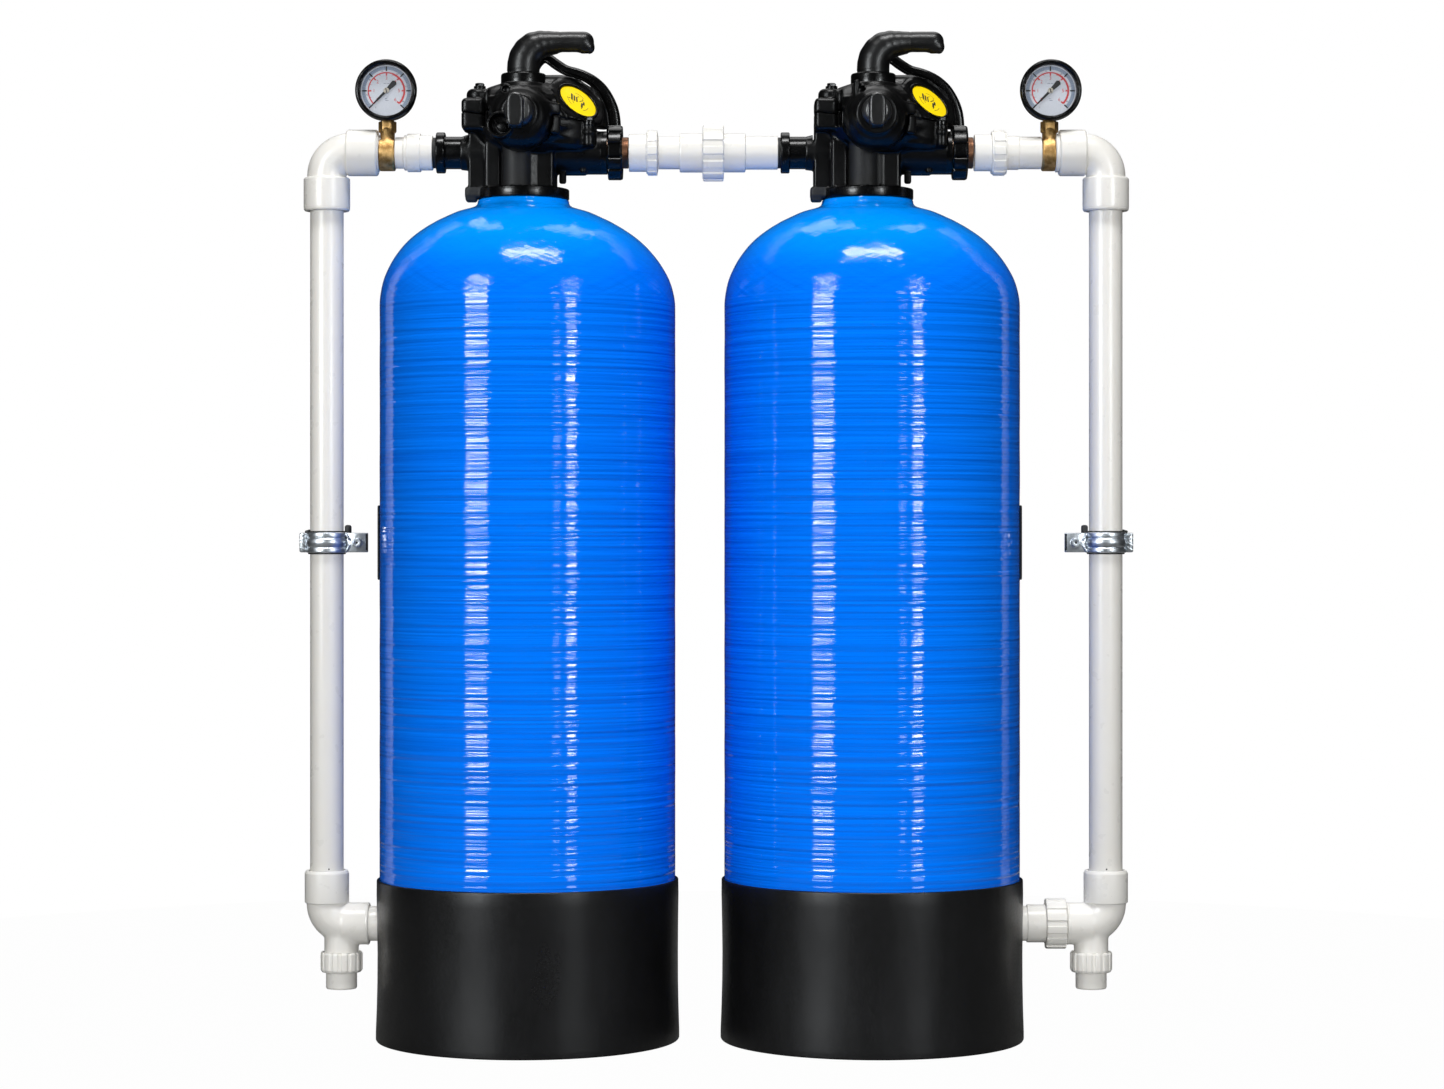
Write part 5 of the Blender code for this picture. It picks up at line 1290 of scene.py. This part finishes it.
# ---- clamps ------------------------------------------------------------------------------
def clamp(side):
    sgn = OUT[side]
    at = (sgn * RISER_X, 0, CLAMP_Z)
    shells = []
    band = [(20.6, 10.5, 0.6), (21.7, 9.6, 0.6), (21.7, 6.0, 1.0), (20.9, 5.0, 1.0), (22.0, 3.4, 1.6), (22.65, 0.6, 2.0), (22.65, -0.6, 2.0), (22.0, -3.4, 1.6),
            (20.9, -5.0, 1.0), (21.7, -6.0, 1.0), (21.7, -9.6, 0.6), (20.6, -10.5, 0.6), (19.8, -10.5, 0.3), (19.8, 10.5, 0.3)]
    shells.append((ringed(band, 112, at, "Z", 0.5), "zinc"))
    # Folded lug on the outside, and the screwed ears inboard.
    x = sgn * (RISER_X + 24.3)
    shells.append((slab((7.4, 12.4, 20.4), (x, 0, CLAMP_Z), None, 1.8), "zinc"))
    for dz in (-6.2, -1.4, 3.6, 7.6):
        tilt = Matrix.Rotation(math.radians(28 if dz < 2 else -24), 3, "Y")
        shells.append((slab((7.8, 2.0, 2.2), (x - sgn * 0.1, -5.6, CLAMP_Z + dz), tilt, 0.7), "zinc"))
    for y in (-5.0, 5.0):
        shells.append((slab((21.4, 2.3, 20.2), (sgn * (RISER_X - 31.6), y, CLAMP_Z), None, 0.9), "zinc"))
    # Bent dark edge of the front ear and its root fold.
    shells.append((slab((2.6, 3.6, 18.6), (sgn * (RISER_X - 41.2), -4.4, CLAMP_Z + 0.4), None, 1.0), "rubber"))
    for dz in (-6.0, 6.0):
        shells.append((slab((2.4, 2.4, 9.0), (sgn * (RISER_X - 22.4), -7.2, CLAMP_Z + dz), Matrix.Rotation(math.radians(28 * (1 if dz > 0 else -1) * sgn), 3, "Y"), 0.9), "zinc"))
    piece(f"clamp_band_pressed_{side}", shells, replaces=(f"clamp_band_{side}",), angle=42)
    sx = sgn * (RISER_X - 31.9)
    screw = [(solid([(0, 6.4), (5.9, 6.4), (5.9, 7.2), (5.2, 7.4), (0, 7.4)][::-1], 48, (sx, 0, CLAMP_Z), "-Y", 0.2), "zinc"),
             (solid([(0, 7.3), (4.8, 7.3), (4.8, 8.4), (4.0, 9.3), (2.4, 9.35), (2.2, 8.6), (0, 8.5)][::-1], 48, (sx, 0, CLAMP_Z), "-Y", 0.3), "zinc"),
             # A near-black hexagon in the head: painted shade of its socket.
             (solid([(0, 8.7), (1.3, 8.7), (1.3, 8.3), (0, 8.3)][::-1], 6, (sx, 0, CLAMP_Z), "-Y", 0.0), "shade")]
    piece(f"clamp_screw_head_{side}", screw, replaces=(f"clamp_screw_{side}",), angle=40)
    liner = [(ringed([(19.5, 12.0), (19.5, -12.0), (17.65, -12.0), (17.65, 12.0)], 96, at, "Z", 0.4), "rubber")]
    # Liner tabs that stand up at the two joints.
    liner.append((slab((6.6, 9.0, 12.6), (sgn * (RISER_X - 21.9), 1.5, CLAMP_Z + 12.0), None, 2.0), "rubber"))
    liner.append((slab((6.0, 7.0, 3.4), (sgn * (RISER_X + 19.8), 1.5, CLAMP_Z + 11.4), Matrix.Rotation(math.radians(16 * sgn), 3, "Y"), 1.0), "rubber"))
    piece(f"clamp_liner_rubber_{side}", liner, replaces=(f"clamp_liner_{side}",), angle=40)
    # Pad strip on the tank's flank.
    tx = TANK_X[side]
    half = math.radians(7.1)
    mid = math.pi if side == "L" else 0.0
    verts, faces = [], []
    rows = [(153.75, 475.4), (153.75, 552.6), (155.2, 552.0), (155.35, 549.5), (155.35, 478.5), (155.2, 476.0)]
    n = 16
    for i in range(n + 1):
        a = mid - half + 2 * half * i / n
        for r, z in rows:
            verts.append((tx + r * math.cos(a), r * math.sin(a), z))
    k = len(rows)
    for i in range(n):
        for j in range(k):
            m = (j + 1) % k
            faces.append((i * k + j, i * k + m, (i + 1) * k + m, (i + 1) * k + j))
    faces += [tuple(reversed(range(k))), tuple(n * k + j for j in range(k))]
    piece(f"tank_pad_{side}", [(outward((np.array(verts), faces)), "rubber")], replaces=(f"clamp_saddle_{side}",), angle=40)


for side in "LR":
    tank_skin(side)
    boot_skin(side)
    valve_body(side)
    valve_head(side)
    valve_bridge(side)
    valve_lever(side)
    valve_knob(side)
    port_nut(side)
    gauge(side)
    gauge_tee(side)
    port_adaptor(side)
    top_elbow(side)
    riser(side)
    bottom_elbow(side)
    drain(side)
    clamp(side)
inlets()
link()

# The CAD nodes still shown take their finish too.
for name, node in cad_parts.items():
    if node.hide_render:
        continue
    node.data.materials.clear()
    node.data.materials.append(MAT["inner"])

# ============================================================================
# Studio
# ============================================================================
scene = bpy.context.scene
scene.view_settings.view_transform = "Standard"
world = bpy.data.worlds.new("studio")
scene.world = world
world.use_nodes = True
nt = world.node_tree
back = nt.nodes["Background"]
back.inputs["Color"].default_value = (1.0, 0.995, 0.98, 1.0)
back.inputs["Strength"].default_value = 0.15
seen = nt.nodes.new("ShaderNodeBackground")
seen.inputs["Color"].default_value = (1.0, 1.0, 1.0, 1.0)
seen.inputs["Strength"].default_value = 1.0
dim = nt.nodes.new("ShaderNodeBackground")
dim.inputs["Color"].default_value = (0.9, 0.95, 1.0, 1.0)
dim.inputs["Strength"].default_value = 0.022
path = nt.nodes.new("ShaderNodeLightPath")
mirrored = nt.nodes.new("ShaderNodeMixShader")
nt.links.new(path.outputs["Is Glossy Ray"], mirrored.inputs[0])
nt.links.new(back.outputs[0], mirrored.inputs[1])
nt.links.new(dim.outputs[0], mirrored.inputs[2])
mixer = nt.nodes.new("ShaderNodeMixShader")
nt.links.new(path.outputs["Is Camera Ray"], mixer.inputs[0])
nt.links.new(mirrored.outputs[0], mixer.inputs[1])
nt.links.new(seen.outputs[0], mixer.inputs[2])
nt.links.new(mixer.outputs[0], nt.nodes["World Output"].inputs["Surface"])

floor_mesh = bpy.data.meshes.new("floor")
ringpts = [(1.5 * math.cos(math.tau * i / 96), 1.5 * math.sin(math.tau * i / 96), -0.0006) for i in range(96)]
floor_mesh.from_pydata(ringpts, [], [tuple(range(96))])
floor = bpy.data.objects.new("floor", floor_mesh)
scene.collection.objects.link(floor)
ff = Finish("floor_white", (0.14, 0.14, 0.135), 0.9, Specular_IOR_Level=0.1)
ff.color(ff.mix(ff.ramp(ff.noise(3.0, 2.0), 0.3, 0.7), (0.135, 0.135, 0.13), (0.145, 0.145, 0.14)))
glow = ff.node("ShaderNodeEmission")
glow.inputs["Color"].default_value = (1.0, 1.0, 1.0, 1.0)
ray = ff.node("ShaderNodeLightPath")
joined = ff.node("ShaderNodeMixShader")
ff.link(ff.math("MULTIPLY", ray.outputs["Is Camera Ray"], 0.985), joined.inputs[0])
ff.link(ff.bsdf.outputs[0], joined.inputs[1])
ff.link(glow.outputs[0], joined.inputs[2])
ff.link(joined.outputs[0], ff.nt.nodes["Material Output"].inputs["Surface"])
floor_mesh.materials.append(ff.mat)
floor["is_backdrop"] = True


def softbox(name, at, target, size, strength, mirrored=True, lit=True):
    light = bpy.data.lights.new(name, "AREA")
    light.shape = "RECTANGLE"
    light.size, light.size_y = size
    light.energy = strength * size[0] * size[1] * math.pi
    obj = bpy.data.objects.new(name, light)
    scene.collection.objects.link(obj)
    obj.location = at
    obj.rotation_euler = (Vector(target) - Vector(at)).to_track_quat("-Z", "Y").to_euler()
    obj.visible_glossy = mirrored
    obj.visible_diffuse = lit
    if not lit:
        light.color = (0.94, 0.98, 1.0)
    return obj


def around(angle, distance, height):
    a = math.radians(angle)
    return (math.sin(a) * distance, -math.cos(a) * distance, height)


softbox("strip_left", around(-38.4, 4.4, 1.40), (0, 0, 0.95), (1.30, 0.56), 40.0, lit=False)
softbox("strip_left_high", around(-38.4, 4.4, 2.80), (0, 0, 0.6), (1.30, 0.32), 40.0, lit=False)
softbox("strip_left_low", around(-38.4, 4.4, 0.35), (0, 0, 0.4), (1.30, 0.60), 9.0, lit=False)
softbox("strip_right", around(34.5, 4.4, 1.40), (0, 0, 0.95), (0.56, 0.56), 46.0, lit=False)
softbox("strip_right_high", around(36.5, 4.4, 2.70), (0, 0, 0.6), (1.0, 0.30), 16.0, lit=False)
softbox("strip_right_low", around(34.5, 4.4, 0.35), (0, 0, 0.4), (0.56, 0.60), 9.0, lit=False)
softbox("strip_right_thin", around(23.0, 4.4, 1.40), (0, 0, 0.95), (0.36, 0.56), 10.0, lit=False)
softbox("overhead", (0.18, -1.9, 6.0), (0, 0, 0.8), (3.2, 1.0), 27.0)
softbox("overhead_rear", (0.0, 2.4, 4.6), (0, 0, 0.9), (3.2, 2.4), 2.3)
softbox("key_left", around(-38.0, 4.6, 1.6), (0, 0, 0.6), (1.4, 1.4), 5.6, False)
softbox("key_right", around(34.0, 4.6, 1.4), (0, 0, 0.6), (1.2, 1.2), 1.6, False)
softbox("front_fill", around(1.0, 4.8, 0.8), (0, 0, 0.5), (1.6, 1.6), 16.5, False)
softbox("rear_fill", (0.0, 3.6, 1.6), (0, 0, 0.5), (3.0, 1.8), 5.0, False)
softbox("rear_strip_left", around(168.0, 4.4, 1.50), (0, 0, 0.8), (0.40, 0.9), 12.0, False)
softbox("rear_strip_right", around(-168.0, 4.4, 1.50), (0, 0, 0.8), (0.40, 0.9), 12.0, False)

cam = bpy.data.cameras.new("camera")
camera = bpy.data.objects.new("camera", cam)
scene.collection.objects.link(camera)
camera.location = (0.0059, -3.53, 0.512)
camera.rotation_euler = (math.radians(90), 0, 0)
cam.sensor_width = 36.0
cam.lens = 84.76
cam.clip_end = 100.0
scene.camera = camera

bpy.context.view_layer.update()
counts = sorted(((len(o.data.polygons), o.name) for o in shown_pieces()), reverse=True)
print("PIECES", len(counts), "FACES", sum(c for c, _ in counts), counts[:14])
